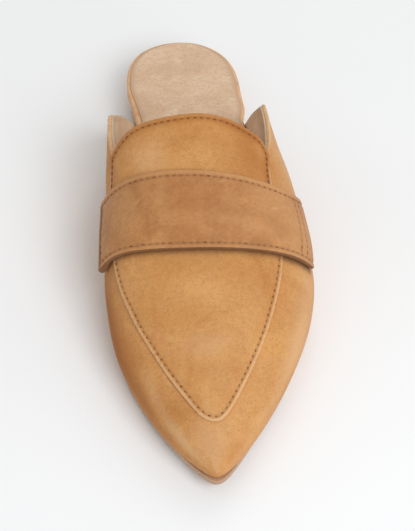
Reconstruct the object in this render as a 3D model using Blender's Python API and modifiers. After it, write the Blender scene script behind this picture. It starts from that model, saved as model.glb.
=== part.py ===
"""Left shoe of a pair of backless pointed loafers: a low heel, a thin outsole, a wrapped insole
board with its sock, a hollow leather upper, an apron that ends in the tongue, and a saddle strap.

Metres, +Z up. The toe points along -Y, the lateral (outer) side is +X, and the floor is z = 0.
The tables are in millimetres, percent or plain ratios, as their column names say. A station is
a distance forward from the back of the heel.
"""

from math import pi

import bmesh
import bpy
import numpy as np

MM = 0.001

# Driving dimensions, in millimetres.
LENGTH = 267.0  # back of the heel to the tip of the outsole
UPPER_LENGTH = 265.0  # back of the heel to the tip of the upper
BALL_WIDTH = 94.5  # upper across the ball of the foot
INSTEP_HEIGHT = 62.0  # top of the tongue above the edge where upper meets outsole
HEEL_HEIGHT = 11.7
HEEL_END = 62.0  # station of the heel's front face
TREAD_START = 150.0  # the forefoot rests on the floor between these two stations
TREAD_END = 200.0
TOE_SPRING = 7.2
OUTSOLE_THICKNESS = 2.8
BOARD_THICKNESS = 4.0
SOCK_THICKNESS = 1.2
UPPER_WALL = 1.9
APRON_THICKNESS = 1.2
STRAP_THICKNESS = 1.8
GAP = 0.3  # between pieces that touch
OVERLAY_GAP = 0.45  # under the apron and under the strap, whose facets lie across the upper's
BOARD_TO_FEATHER = UPPER_WALL + 1.5 * GAP  # the board's edge lies this far inside the upper's foot
SOCK_MARGIN = 2.2  # rim of the board left bare round the sock
SEAT_INSET = 1.6  # how far the outsole lies inside the board under the heel seat

# Place of the origin, under the middle of the shoe's box.
MIDDLE_ACROSS = 2.7
MIDDLE_STATION = 133.95

# Mesh density: steps along and across each piece.
OUTLINE_STEPS = 600  # for moving the footprint's outline inwards
ACROSS_STEPS = 240  # for finding a distance across on the last's top
LAYER_ROWS = 44
LAYER_COLUMNS = 4
UPPER_ROWS = 26
APRON_ROWS = 22
APRON_ACROSS = 22
STRAP_ROWS = 7
STRAP_ACROSS = 32
HEEL_ROWS = 14

# Sections of the upper, from the wings to the toe.
#   station, percent of UPPER_LENGTH
#   half widths at the widest line (belly), percent of BALL_WIDTH, medial and lateral
#   how far the foot of the wall lies inside the belly, percent of BALL_WIDTH
#   crest height and belly heights above the foot of the wall, percent of INSTEP_HEIGHT
#   ridge offset towards the lateral side, percent of BALL_WIDTH
#   fullness of the arch on each side of the ridge, the exponent of its superellipse in percent
SECTION_COLUMNS = (
    "station", "belly_medial", "belly_lateral", "tuck_medial", "tuck_lateral", "crest",
    "height_medial", "height_lateral", "ridge", "fullness_medial", "fullness_lateral",
)
SECTIONS = (
    (22.6, 36.6, 33.8, 7.2, 1.3, 118.0, 55.0, 55.0, 0.0, 220, 180),
    (32.1, 41.6, 37.5, 11.3, 3.5, 111.5, 50.0, 50.0, -1.1, 220, 170),
    (41.5, 44.2, 44.9, 10.6, 5.5, 104.0, 43.5, 42.0, -2.7, 225, 172),
    (50.9, 44.2, 51.1, 7.4, 6.4, 95.0, 37.0, 33.0, -3.7, 225, 178),
    (60.4, 46.0, 54.2, 5.3, 5.8, 83.5, 30.0, 25.0, -3.7, 225, 188),
    (69.8, 45.1, 51.3, 3.7, 4.7, 66.5, 23.5, 19.5, -3.3, 225, 200),
    (77.4, 41.1, 43.8, 3.3, 3.7, 54.0, 17.5, 15.3, -2.7, 220, 208),
    (84.9, 32.6, 33.1, 3.1, 3.1, 42.0, 12.4, 12.1, -1.9, 215, 210),
    (90.6, 24.5, 23.6, 3.4, 3.3, 33.0, 8.6, 8.7, -1.1, 210, 210),
    (95.5, 15.0, 14.5, 2.7, 2.7, 24.5, 7.1, 7.2, -0.5, 205, 205),
    (98.5, 7.3, 7.2, 1.2, 1.2, 15.5, 5.7, 5.7, 0.0, 200, 200),
    (100.0, 0.0, 0.0, 0.0, 0.0, 5.0, 2.0, 2.0, 0.0, 200, 200),
)
BELLY = 0.75  # share of half a section, from crest to foot, that lies above the belly

# Heel seat of the wrapped board, from the back of the heel to where the wings start.
#   station in millimetres, half widths in percent of BALL_WIDTH
SEAT_COLUMNS = ("station", "medial", "lateral")
SEAT = (
    (0.0, 0.0, 0.0),
    (10.0, 24.2, 21.7),
    (20.0, 29.4, 27.4),
    (32.0, 31.0, 29.7),
    (45.0, 30.4, 30.5),
)
SEAT_TO_UPPER = (66.0, 80.0, 95.0)  # stations where the footprint takes on the upper's own width

# Stations between which the layers inside the upper draw in: to let the wings pass, and again at
# the toe, where the upper runs out low and they keep this much further clear of it.
WING_FOOT = {"medial": (38.0, 59.2), "lateral": (52.0, 59.2)}
SOLE_FOOT = (52.0, 59.2)  # the same for the outsole
TOE_TAPER = (235.0, 265.0)
TOE_CLEARANCE = 2.5

# Stations over which the upper's wall comes to stand upright lower down, towards the toe.
TOE_WALL = (205.0, 245.0)

# The heel block's outline, as shares of the footprint, at its top and at the floor.
HEEL_TRIM_TOP = 0.93
HEEL_TRIM_FLOOR = 0.91

# Edge of the upper's opening, from the medial foot over the tongue to the lateral foot.
#   around: -1 at the medial foot of the wall, 0 at the crest, 1 at the lateral foot
#   station in millimetres, and the number of steps to the next row
TOPLINE_COLUMNS = ("around", "station", "steps")
TOPLINE = (
    (-1.00, 60.0, 3),
    (-0.87, 70.5, 3),
    (-0.75, 84.0, 2),
    (-0.69, 88.8, 4),
    (-0.61, 105.0, 3),
    (-0.53, 117.0, 2),
    (-0.49, 116.0, 5),
    (-0.10, 113.6, 2),
    (0.10, 113.6, 3),
    (0.31, 115.0, 2),
    (0.38, 118.0, 1),
    (0.40, 121.6, 3),
    (0.50, 105.6, 4),
    (0.64, 84.8, 2),
    (0.75, 80.6, 6),
    (1.00, 60.5, 0),
)

# Apron in plan, from its point over the toe back to the tongue.
#   distance back from the point and how far across its two edges lie, in millimetres
APRON_POINT = 247.4
APRON_COLUMNS = ("back", "medial", "lateral")
APRON = (
    (0.0, 0.0, 0.0),
    (2.5, -5.5, 4.6),
    (10.0, -10.9, 9.5),
    (22.0, -18.3, 16.0),
    (35.0, -25.2, 22.2),
    (50.0, -32.2, 28.1),
    (63.0, -36.4, 32.0),
    (77.0, -38.8, 34.2),
    (109.0, -39.4, 32.0),
    (135.0, -38.2, 32.2),
)
# Top edge of the tongue: share of the apron's half width, and station in millimetres.
TONGUE_COLUMNS = ("across", "station")
TONGUE = (
    (-1.0, 118.0),
    (-0.9, 115.6),
    (-0.5, 113.8),
    (0.0, 113.2),
    (0.5, 113.4),
    (0.8, 115.4),
    (0.95, 119.0),
    (1.0, 122.5),
)

# Saddle strap: its two long edges at places around the section, stations in millimetres, and how
# far its inner face stands off the upper: over the apron it must clear it.
STRAP_COLUMNS = ("around", "top", "bottom", "lift")
STRAP = (
    (-0.63, 136.0, 168.2, 2.5),
    (-0.50, 136.2, 168.8, 2.1),
    (-0.25, 138.5, 172.2, 2.1),
    (0.00, 140.3, 174.1, 2.1),
    (0.25, 140.5, 172.9, 2.1),
    (0.42, 139.3, 170.9, 1.7),
    (0.60, 134.2, 167.6, 1.0),
)


# --- Curves and tables -----------------------------------------------------------------------


def smooth_through(knots, values, at):
    """Natural cubic spline through (knots, values), read at the places in `at`."""
    knots = np.asarray(knots, float)
    values = np.asarray(values, float)
    at = np.asarray(at, float)
    count = len(knots)
    step = np.diff(knots)
    rise = np.diff(values) / step
    system = np.eye(count)
    right = np.zeros(count)
    for i in range(1, count - 1):
        system[i, i - 1 : i + 2] = step[i - 1], 2 * (step[i - 1] + step[i]), step[i]
        right[i] = 6 * (rise[i] - rise[i - 1])
    bend = np.linalg.solve(system, right)
    k = np.clip(np.searchsorted(knots, at) - 1, 0, count - 2)
    t = at - knots[k]
    slope = rise[k] - step[k] * (2 * bend[k] + bend[k + 1]) / 6
    return values[k] + t * slope + t**2 * bend[k] / 2 + t**3 * (bend[k + 1] - bend[k]) / (6 * step[k])


def column(table, names, name):
    """One named column of a table, as an array."""
    return np.array([row[names.index(name)] for row in table])


def roundness(station, length):
    """Station as a share of a length, with both ends stretched out, so that a width read through
    it closes as a round nose."""
    return np.arcsin(np.sqrt(np.clip(np.asarray(station, float) / length, 0, 1))) * 2 / pi


def section(name, station, full):
    """A column of SECTIONS at any station, in units of `full` per hundred."""
    knots = roundness(column(SECTIONS, SECTION_COLUMNS, "station") / 100, 1.0)
    values = column(SECTIONS, SECTION_COLUMNS, name)
    return smooth_through(knots, values, roundness(station, UPPER_LENGTH)) * full / 100


# --- Levels of the sole --------------------------------------------------------------------


def outsole_bottom(station):
    """Flat over the heel block, down the shank to the floor at the tread, and up the toe spring."""
    shank = np.clip((station - HEEL_END) / (TREAD_START - HEEL_END), 0, 1)
    toe = np.clip((station - TREAD_END) / (LENGTH - TREAD_END), 0, None)
    return HEEL_HEIGHT * (1 - shank**2 * (3 - 2 * shank)) + TOE_SPRING * toe**2


def feather_height(station):
    """Height of the foot of the upper's wall, which stands on the outsole."""
    return outsole_bottom(station) + OUTSOLE_THICKNESS + GAP


def feather_width(side, station):
    """Half width at the foot of the upper's wall. `side` is "medial" or "lateral"."""
    belly = section("belly_" + side, station, BALL_WIDTH)
    return belly - section("tuck_" + side, station, BALL_WIDTH)


def foot_edge(side, station):
    """Half width of the shoe's footprint: the heel seat's at the back, the upper's foot in front."""
    joined = np.array(SEAT_TO_UPPER)
    rear = np.concatenate([column(SEAT, SEAT_COLUMNS, "station"), joined])
    seat = column(SEAT, SEAT_COLUMNS, side) * BALL_WIDTH / 100
    widths = np.concatenate([seat, feather_width(side, joined)])
    heel = smooth_through(roundness(rear, UPPER_LENGTH), widths, roundness(station, UPPER_LENGTH))
    front = feather_width(side, np.maximum(station, joined[0]))
    blend = np.clip((station - joined[0]) / (joined[1] - joined[0]), 0, 1)
    return heel + (front - heel) * blend**2 * (3 - 2 * blend)


def inset_edge(side, heel_inset, front_inset):
    """Stations and half widths of the footprint moved inwards along its own normals, by
    `heel_inset` at the heel seat and by `front_inset` from where the wings stand."""
    station = stations_between(0.0, UPPER_LENGTH, UPPER_LENGTH, OUTLINE_STEPS)
    width = foot_edge(side, station)
    toe_inset = front_inset + TOE_CLEARANCE * (front_inset > 0)
    insets = (heel_inset, front_inset, front_inset, toe_inset)
    change = WING_FOOT[side] if front_inset else SOLE_FOOT
    inset = np.interp(station, (*change, *TOE_TAPER), insets)
    along, out = np.gradient(station), np.gradient(width)
    size = np.hypot(along, out)
    moved_station = station + inset * out / size
    moved_width = width - inset * along / size
    kept = (moved_width >= 0) & (moved_station >= np.maximum.accumulate(moved_station))
    return moved_station[kept], moved_width[kept]


# --- The last ------------------------------------------------------------------------------


def last_surface(station, around):
    """Outer face of the upper at `station`, `around` = -1 medial foot, 0 crest, 1 lateral foot.

    Above the belly a section is half a superellipse from the ridge to the widest line. Below it
    the wall turns in along a parabola to its foot on the outsole. Returns (..., 3) millimetres
    as across, station, height.
    """
    station, around = np.broadcast_arrays(np.asarray(station, float), np.asarray(around, float))
    medial = around < 0
    side = np.where(medial, -1.0, 1.0)
    belly = np.where(
        medial,
        section("belly_medial", station, BALL_WIDTH),
        section("belly_lateral", station, BALL_WIDTH),
    )
    tuck = np.where(
        medial,
        section("tuck_medial", station, BALL_WIDTH),
        section("tuck_lateral", station, BALL_WIDTH),
    )
    height = np.where(
        medial,
        section("height_medial", station, INSTEP_HEIGHT),
        section("height_lateral", station, INSTEP_HEIGHT),
    )
    fullness = np.where(
        medial,
        section("fullness_medial", station, 1.0),
        section("fullness_lateral", station, 1.0),
    )
    crest = section("crest", station, INSTEP_HEIGHT)
    ridge = section("ridge", station, BALL_WIDTH)
    power = 2 / fullness
    angle = np.clip(np.abs(around) / BELLY, 0, 1) * pi / 2
    below = np.clip((np.abs(around) - BELLY) / (1 - BELLY), 0, 1)
    forward = np.clip((station - TOE_WALL[0]) / (TOE_WALL[1] - TOE_WALL[0]), 0, 1)
    turned_in = tuck * below ** (2 + 2.2 * forward**2 * (3 - 2 * forward))
    across = ridge + (side * belly - ridge) * np.sin(angle) ** power - side * turned_in
    arch = height + (crest - height) * np.cos(angle).clip(0, 1) ** power
    up = feather_height(station) + np.where(below > 0, height * (1 - below), arch)
    return np.stack([across, station, up], axis=-1)


def around_at(station, across):
    """The `around` at which the last's top has this distance across, station by station."""
    tries = np.linspace(-BELLY, BELLY, ACROSS_STEPS + 1)
    found = np.empty(len(station))
    for i, (one_station, one_across) in enumerate(zip(station, across)):
        found[i] = np.interp(one_across, last_surface(one_station, tries)[:, 0], tries)
    return found


def last_normal(station, around):
    """Unit normals of the last's outer face, from its two partial differences."""
    small_station, small_around = 0.05, 0.0005
    station = np.clip(station, 0, UPPER_LENGTH - 0.5)
    ahead = last_surface(station + small_station, around) - last_surface(station - small_station, around)
    over = last_surface(station, around + small_around) - last_surface(station, around - small_around)
    normal = np.cross(over, ahead)
    return normal / np.linalg.norm(normal, axis=-1, keepdims=True)


def raised(station, around, lift):
    """The last's outer face moved out by `lift` along its normals."""
    lift = np.broadcast_to(lift, np.broadcast(station, around).shape)[..., None]
    return last_surface(station, around) + last_normal(station, around) * lift


# --- Making objects ------------------------------------------------------------------------


def material(name, colour, roughness):
    finish = bpy.data.materials.new(name)
    finish.use_nodes = True
    shader = finish.node_tree.nodes["Principled BSDF"]
    shader.inputs["Base Color"].default_value = (*colour, 1.0)
    shader.inputs["Roughness"].default_value = roughness
    shader.inputs["Metallic"].default_value = 0.0
    return finish


def place(points):
    """Across, station, height in millimetres to metres in the part's frame, toe at -Y."""
    moved = np.array(points, float)
    moved[..., 0] = moved[..., 0] - MIDDLE_ACROSS
    moved[..., 1] = MIDDLE_STATION - moved[..., 1]
    return moved * MM


def grid_object(name, points, finish, collection):
    """A mesh of quads over a grid of points. Points that coincide at a tip or a seam are merged."""
    rows, columns = points.shape[:2]
    index = np.arange(rows * columns).reshape(rows, columns)
    quads = np.stack(
        [index[:-1, :-1], index[:-1, 1:], index[1:, 1:], index[1:, :-1]], axis=-1
    ).reshape(-1, 4)
    mesh = bpy.data.meshes.new(name)
    mesh.from_pydata(place(points).reshape(-1, 3).tolist(), [], quads.tolist())
    work = bmesh.new()
    work.from_mesh(mesh)
    bmesh.ops.remove_doubles(work, verts=work.verts, dist=0.01 * MM)
    bmesh.ops.recalc_face_normals(work, faces=work.faces)
    upward = sum(face.normal.z * face.calc_area() for face in work.faces)
    if upward < 0:
        bmesh.ops.reverse_faces(work, faces=work.faces)
    work.to_mesh(mesh)
    work.free()
    made = bpy.data.objects.new(name, mesh)
    made.data.materials.append(finish)
    collection.objects.link(made)
    return made


def thicken(made, thickness):
    """Gives an open surface its wall, inwards from the face that it was drawn on."""
    wall = made.modifiers.new("wall", "SOLIDIFY")
    wall.thickness = thickness * MM
    wall.offset = -1.0
    wall.use_even_offset = True
    wall.use_quality_normals = True
    made.data.shade_smooth()
    made.data.set_sharp_from_angle(angle=pi / 4)


def stations_between(start, end, length, steps):
    """Stations from `start` to `end`, closer together towards a round nose at `length`."""
    first, final = roundness(start, length), roundness(end, length)
    share = np.linspace(0, 1, steps + 1).reshape([-1] + [1] * np.ndim(first))
    return length * np.sin((first + (final - first) * share) * pi / 2) ** 2


# --- The pieces ----------------------------------------------------------------------------


def make_layer(name, top, thickness, heel_inset, front_inset, finish, collection, stretch=1.0):
    """A layer of the sole inside the footprint. `top` gives its upper face's height by station,
    and `stretch` lengthens the footprint. Rows cross the shoe from its medial to its lateral edge,
    closer together at both round ends."""
    medial_station, medial_width = inset_edge("medial", heel_inset, front_inset)
    lateral_station, lateral_width = inset_edge("lateral", heel_inset, front_inset)
    start = max(medial_station[0], lateral_station[0])
    end = min(medial_station[-1], lateral_station[-1])
    station = start + stations_between(0.0, end - start, end - start, LAYER_ROWS)
    medial = np.interp(station, medial_station, medial_width)
    lateral = np.interp(station, lateral_station, lateral_width)
    medial[[0, -1]] = lateral[[0, -1]] = 0
    across = np.linspace(-1, 1, LAYER_COLUMNS + 1)
    half = np.where(across < 0, medial[:, None], lateral[:, None])
    along = station[:, None] * stretch + 0 * across
    points = np.stack([half * across, along, top(along)], axis=-1)
    layer = grid_object(name, points, finish, collection)
    thicken(layer, thickness)
    return layer


def make_upper(finish, collection):
    """Vamp, quarters and lining as one wall: rows run from the topline to the toe. The columns
    start at the topline's own corners and even out on the way forward, more slowly than the rows,
    so that both sides meet point to point in the seam of the nose."""
    around_knots = column(TOPLINE, TOPLINE_COLUMNS, "around")
    station_knots = column(TOPLINE, TOPLINE_COLUMNS, "station")
    steps = column(TOPLINE, TOPLINE_COLUMNS, "steps").astype(int)
    around = np.concatenate(
        [
            np.linspace(a, b, n, endpoint=False)
            for a, b, n in zip(around_knots, around_knots[1:], steps)
        ]
        + [[around_knots[-1]]]
    )
    opening = np.interp(around, around_knots, station_knots)
    station = stations_between(opening, UPPER_LENGTH, UPPER_LENGTH, UPPER_ROWS)
    even = np.linspace(-1, 1, len(around))
    evened = np.linspace(0, 1, len(station))[:, None] ** 0.7
    points = last_surface(station, around + (even - around) * evened)
    upper = grid_object("upper", points, finish, collection)
    thicken(upper, UPPER_WALL)
    return upper


def make_apron(finish, collection):
    """Plug and tongue in one: columns run from the tongue's edge to the point over the toe."""
    across = np.linspace(-1, 1, APRON_ACROSS + 1)
    tongue = smooth_through(
        column(TONGUE, TONGUE_COLUMNS, "across"), column(TONGUE, TONGUE_COLUMNS, "station"), across
    )
    share = np.sin(np.linspace(0, 1, APRON_ROWS + 1) * pi / 2)[:, None]
    station = tongue + (APRON_POINT - tongue) * share
    back = np.sqrt(np.clip(APRON_POINT - station, 0, None))
    knots = np.sqrt(column(APRON, APRON_COLUMNS, "back"))
    medial = smooth_through(knots, column(APRON, APRON_COLUMNS, "medial"), back)
    lateral = smooth_through(knots, column(APRON, APRON_COLUMNS, "lateral"), back)
    sideways = (medial + lateral) / 2 + across * (lateral - medial) / 2
    around = around_at(station.ravel(), sideways.ravel()).reshape(station.shape)
    points = raised(station, around, OVERLAY_GAP + APRON_THICKNESS)
    apron = grid_object("apron", points, finish, collection)
    thicken(apron, APRON_THICKNESS)
    return apron


def make_strap(finish, collection):
    """Saddle strap: columns cross the instep, rows run from its top edge to its bottom edge."""
    knots = column(STRAP, STRAP_COLUMNS, "around")
    around = np.linspace(knots[0], knots[-1], STRAP_ACROSS + 1)
    top, bottom, lift = (
        smooth_through(knots, column(STRAP, STRAP_COLUMNS, name), around)
        for name in ("top", "bottom", "lift")
    )
    station = top + (bottom - top) * np.linspace(0, 1, STRAP_ROWS + 1)[:, None]
    points = raised(station, around[None, :], lift + STRAP_THICKNESS)
    strap = grid_object("saddle_strap", points, finish, collection)
    thicken(strap, STRAP_THICKNESS)
    return strap


def make_heel(finish, collection):
    """Low block under the heel seat, cut straight across at its front face."""
    station = stations_between(0.0, HEEL_END, UPPER_LENGTH, HEEL_ROWS)
    medial = -foot_edge("medial", station)
    lateral = foot_edge("lateral", station)
    outline = np.concatenate(
        [np.stack([medial, station], axis=-1)[::-1], np.stack([lateral, station], axis=-1)[1:]]
    )
    centre = np.array([0.0, HEEL_END / 2])
    rings = []
    for height, trim in ((HEEL_HEIGHT - GAP, HEEL_TRIM_TOP), (0.0, HEEL_TRIM_FLOOR)):
        ring = centre + (outline - centre) * trim
        ring[:, 1] = np.where(outline[:, 1] >= HEEL_END, HEEL_END, ring[:, 1])
        rings.append(np.column_stack([ring, np.full(len(ring), height)]))
    work = bmesh.new()
    top, bottom = ([work.verts.new(p) for p in place(ring)] for ring in rings)
    work.faces.new(top)
    work.faces.new(bottom[::-1])
    for i in range(len(top)):
        j = (i + 1) % len(top)
        work.faces.new((top[i], bottom[i], bottom[j], top[j]))
    bmesh.ops.recalc_face_normals(work, faces=work.faces)
    mesh = bpy.data.meshes.new("heel")
    work.to_mesh(mesh)
    work.free()
    mesh.shade_smooth()
    mesh.set_sharp_from_angle(angle=pi / 4)
    heel = bpy.data.objects.new("heel", mesh)
    heel.data.materials.append(finish)
    collection.objects.link(heel)
    return heel


def main():
    for old in list(bpy.data.objects):
        bpy.data.objects.remove(old, do_unlink=True)
    shoe = bpy.data.collections.new("pointed_loafer_mule")
    bpy.context.scene.collection.children.link(shoe)

    nubuck = material("tan_nubuck", (0.58, 0.31, 0.12), 0.85)
    strap_leather = material("oiled_strap_leather", (0.48, 0.23, 0.09), 0.6)
    edge_leather = material("tan_wrapping_leather", (0.58, 0.31, 0.14), 0.7)
    sock_leather = material("beige_sock_leather", (0.62, 0.43, 0.28), 0.75)
    sole_board = material("stained_sole_board", (0.45, 0.27, 0.17), 0.6)
    heel_stack = material("stacked_heel_board", (0.42, 0.25, 0.15), 0.6)

    def outsole_top(station):
        return outsole_bottom(station) + OUTSOLE_THICKNESS

    def board_top(station):
        return feather_height(station) + BOARD_THICKNESS

    def sock_top(station):
        return board_top(station) + GAP + SOCK_THICKNESS

    make_heel(heel_stack, shoe)
    longer = LENGTH / UPPER_LENGTH
    make_layer("outsole", outsole_top, OUTSOLE_THICKNESS, SEAT_INSET, 0.0, sole_board, shoe, longer)
    board_inset = BOARD_TO_FEATHER
    make_layer("insole_board", board_top, BOARD_THICKNESS, 0.0, board_inset, edge_leather, shoe)
    sock_inset = BOARD_TO_FEATHER + SOCK_MARGIN
    make_layer("sock", sock_top, SOCK_THICKNESS, SOCK_MARGIN, sock_inset, sock_leather, shoe)
    make_upper(nubuck, shoe)
    make_apron(nubuck, shoe)
    make_strap(strap_leather, shoe)


main()
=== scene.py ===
"""Looks of a left pointed loafer mule: nubuck vamp and apron, waxed saddle strap, lining, padded
sock, wrapped insole, stained sole and stacked heel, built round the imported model.

Shapes are worked out in millimetres as (across, station, height): across is towards the lateral
side, a station is a distance forward from the back of the heel, and height is above the floor.
`place` moves them into the model's frame, in metres, where the toe points along -Y.
"""

from math import pi, radians

import bmesh
import bpy
import numpy as np
from mathutils import Matrix, Vector


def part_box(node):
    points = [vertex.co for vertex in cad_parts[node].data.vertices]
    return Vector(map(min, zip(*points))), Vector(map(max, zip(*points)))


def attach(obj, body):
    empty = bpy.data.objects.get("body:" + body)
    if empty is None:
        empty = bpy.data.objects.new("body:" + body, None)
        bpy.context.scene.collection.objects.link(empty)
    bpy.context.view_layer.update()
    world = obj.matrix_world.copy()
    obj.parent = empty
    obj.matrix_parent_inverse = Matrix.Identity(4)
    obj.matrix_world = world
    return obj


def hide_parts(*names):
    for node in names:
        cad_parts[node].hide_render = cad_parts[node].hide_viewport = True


MM = 0.001

# Driving dimensions, in millimetres.
UPPER_LENGTH = 265.0
SOLE_LENGTH = 267.0
BALL_WIDTH = 94.5
INSTEP_HEIGHT = 62.0
HEEL_HEIGHT = 11.7
HEEL_END = 62.0
HEEL_LIFT = 3.356  # thickness of one of the heel's stacked lifts
HEEL_GAP = 0.05  # between the heel and the outsole
TREAD_START, TREAD_END = 150.0, 200.0
TOE_SPRING = 7.2
OUTSOLE_THICKNESS = 2.8
BOARD_THICKNESS = 4.0
SOCK_THICKNESS = 1.4
SOCK_RIM = 0.9  # thickness of the sock at its edge
SOCK_GAP = 0.1  # between the board and the sock
RIM_RISE = 0.4  # how far the wrapping stands up round the sock
SKIN = 1.15  # leather of the vamp
LINING = 0.7
LINING_GAP = 0.05  # between the vamp and its lining
ROLL_DEPTH = 0.45  # how far the turned topline thickens the wall inwards
BOARD_CLEARANCE = 0.55  # between the lining and the wrapped insole
APRON_THICKNESS = 1.15
APRON_LIFT = 0.05  # between the vamp and the apron
STRAP_THICKNESS = 1.9
GAP = 0.3  # between the outsole and what stands on it
WELD = 0.004  # points nearer than this are merged
FINE_WELD = 0.00001  # merges only points that coincide, so that the nose stays closed
STITCH_INSET = 2.1  # from the strap's edges to the thread beside them
LATERAL_ROWS = (6.8, 11.0)  # from the strap's lateral end to its two rows of thread
PLUG_INSET = 1.8  # from the apron's edge to its thread
STITCH_PITCH = 3.0
GROOVE_WIDTH = 0.7  # of the shallow groove that the thread lies in
END_ROUNDING = 0.6  # how much the strap's end corners are cut back
SOCK_MARGIN = 1.6  # wrapped rim left bare round the sock
WAIST_MARGIN = 2.7  # the same at the medial waist
SEAT_INSET = 1.6  # how far the outsole lies inside the board under the heel seat
AROUND_SPAN = BALL_WIDTH * 0.95  # about how far one unit of `around` is over the leather
FAR = 99.0  # a distance that counts as out of reach

# --- Tables of the last, as in the model ---------------------------------------------------------

# station % of UPPER_LENGTH; half widths at the belly and how far the foot of the wall lies inside
# it, % of BALL_WIDTH; crest and belly heights, % of INSTEP_HEIGHT; ridge offset, % of BALL_WIDTH;
# fullness, the exponent of each side's superellipse in percent.
SECTION_COLUMNS = (
    "station", "belly_medial", "belly_lateral", "tuck_medial", "tuck_lateral", "crest",
    "height_medial", "height_lateral", "ridge", "fullness_medial", "fullness_lateral",
)
SECTIONS = np.array((
    (22.6, 36.6, 33.8, 7.2, 1.3, 118.0, 55.0, 55.0, 0.0, 220, 180),
    (32.1, 41.6, 37.5, 11.3, 3.5, 111.5, 50.0, 50.0, -1.1, 220, 170),
    (41.5, 44.2, 44.9, 10.6, 5.5, 104.0, 43.5, 42.0, -2.7, 225, 172),
    (50.9, 44.2, 51.1, 7.4, 6.4, 95.0, 37.0, 33.0, -3.7, 225, 178),
    (60.4, 46.0, 54.2, 5.3, 5.8, 83.5, 30.0, 25.0, -3.7, 225, 188),
    (69.8, 45.1, 51.3, 3.7, 4.7, 66.5, 23.5, 19.5, -3.3, 225, 200),
    (77.4, 41.1, 43.8, 3.3, 3.7, 54.0, 17.5, 15.3, -2.7, 220, 208),
    (84.9, 32.6, 33.1, 3.1, 3.1, 42.0, 12.4, 12.1, -1.9, 215, 210),
    (90.6, 24.5, 23.6, 3.4, 3.3, 33.0, 8.6, 8.7, -1.1, 210, 210),
    (95.5, 15.0, 14.5, 2.7, 2.7, 24.5, 7.1, 7.2, -0.5, 205, 205),
    (98.5, 7.3, 7.2, 1.2, 1.2, 15.5, 5.7, 5.7, 0.0, 200, 200),
    (100.0, 0.0, 0.0, 0.0, 0.0, 5.0, 2.0, 2.0, 0.0, 200, 200),
))
BELLY = 0.75  # share of half a section, from crest to foot, that lies above the belly

# Heel seat: station in millimetres, half widths in % of BALL_WIDTH.
SEAT = np.array((
    (0.0, 0.0, 0.0), (10.0, 24.2, 21.7), (20.0, 29.4, 27.4), (32.0, 31.0, 29.7),
    (45.0, 30.4, 30.5),
))
# Stations: where the seat's curve runs over into the upper's foot; from where to where the insole
# draws in to stand inside the wings, and the outsole comes out to carry them; where the insole and
# sock draw in further at the toe; and where the wall comes to stand upright lower down.
SEAT_TO_UPPER = np.array((66.0, 80.0, 95.0))
WING_FOOT = {"medial": (38.0, 60.2), "lateral": (52.5, 60.2)}
SOLE_FOOT = (55.0, 66.0)
TOE_TAPER = (235.0, 265.0)
TOE_WALL = (205.0, 245.0)
TOE_CLEARANCE = 2.5  # how much further the insole and sock keep inside at the toe

# Edge of the upper's opening, from the medial foot over the tongue to the lateral foot:
# around (-1 medial foot, 0 crest, 1 lateral foot) and station in millimetres.
TOPLINE = np.array((
    (-1.00, 60.0), (-0.87, 70.5), (-0.75, 84.0), (-0.69, 88.8), (-0.61, 105.0), (-0.53, 117.0),
    (-0.49, 116.4), (-0.10, 114.2), (0.10, 114.2), (0.31, 115.6), (0.38, 118.4), (0.40, 121.6),
    (0.50, 105.6), (0.64, 84.8), (0.75, 80.6), (1.00, 60.5),
))

# Apron in plan: distance back from its point, medial and lateral edges across, in millimetres.
APRON_POINT = 247.4
APRON = np.array((
    (0.0, 0.0, 0.0), (2.5, -5.5, 4.6), (10.0, -10.9, 9.5), (22.0, -18.3, 16.0),
    (35.0, -25.2, 22.2), (50.0, -32.2, 28.1), (63.0, -36.4, 32.0), (77.0, -38.8, 34.2),
    (109.0, -39.4, 32.0), (135.0, -38.2, 32.2),
))
# Top edge of the tongue: share of the apron's half width, and station in millimetres.
TONGUE = np.array((
    (-1.0, 118.0), (-0.9, 115.6), (-0.5, 113.8), (0.0, 113.2), (0.5, 113.4), (0.8, 115.4),
    (0.95, 119.0), (1.0, 122.5),
))

# Saddle strap: around, stations of its top and bottom edge, stand-off of its inner face.
STRAP = np.array((
    (-0.63, 136.0, 168.6, 2.0), (-0.50, 136.2, 168.8, 1.5), (-0.25, 138.5, 172.2, 1.7),
    (0.00, 140.3, 174.1, 1.7), (0.25, 140.5, 172.9, 1.7), (0.42, 139.3, 170.9, 1.4),
    (0.60, 134.2, 168.5, 0.3),
))

# Soft creases and hollows of the leather, placed on the last:
# station and around of the middle, length along and width across the fold in millimetres, turn of
# the fold from straight across in degrees, and depth in millimetres (a ridge is minus).
CREASES = (
    (196.0, -0.42, 26.0, 7.0, 22.0, 0.45),
    (203.0, -0.40, 22.0, 5.0, 24.0, -0.30),
    (194.0, 0.47, 24.0, 7.0, -20.0, 0.40),
    (201.0, 0.45, 20.0, 5.0, -24.0, -0.25),
    (222.0, 0.02, 17.0, 9.0, 0.0, 0.35),
    (188.0, 0.05, 30.0, 14.0, 4.0, 0.40),
    (128.0, -0.22, 26.0, 7.0, -12.0, 0.35),
    (126.0, 0.20, 22.0, 7.0, 16.0, 0.30),
    (104.0, 0.66, 9.0, 16.0, 70.0, 0.50),
    (106.0, -0.72, 9.0, 16.0, -70.0, 0.45),
    (150.0, -0.78, 20.0, 6.0, 35.0, 0.50),
    (158.0, 0.74, 20.0, 6.0, -35.0, 0.45),
    (236.0, -0.45, 18.0, 8.0, 40.0, 0.30),
    (238.0, 0.45, 18.0, 8.0, -40.0, 0.25),
)
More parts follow.
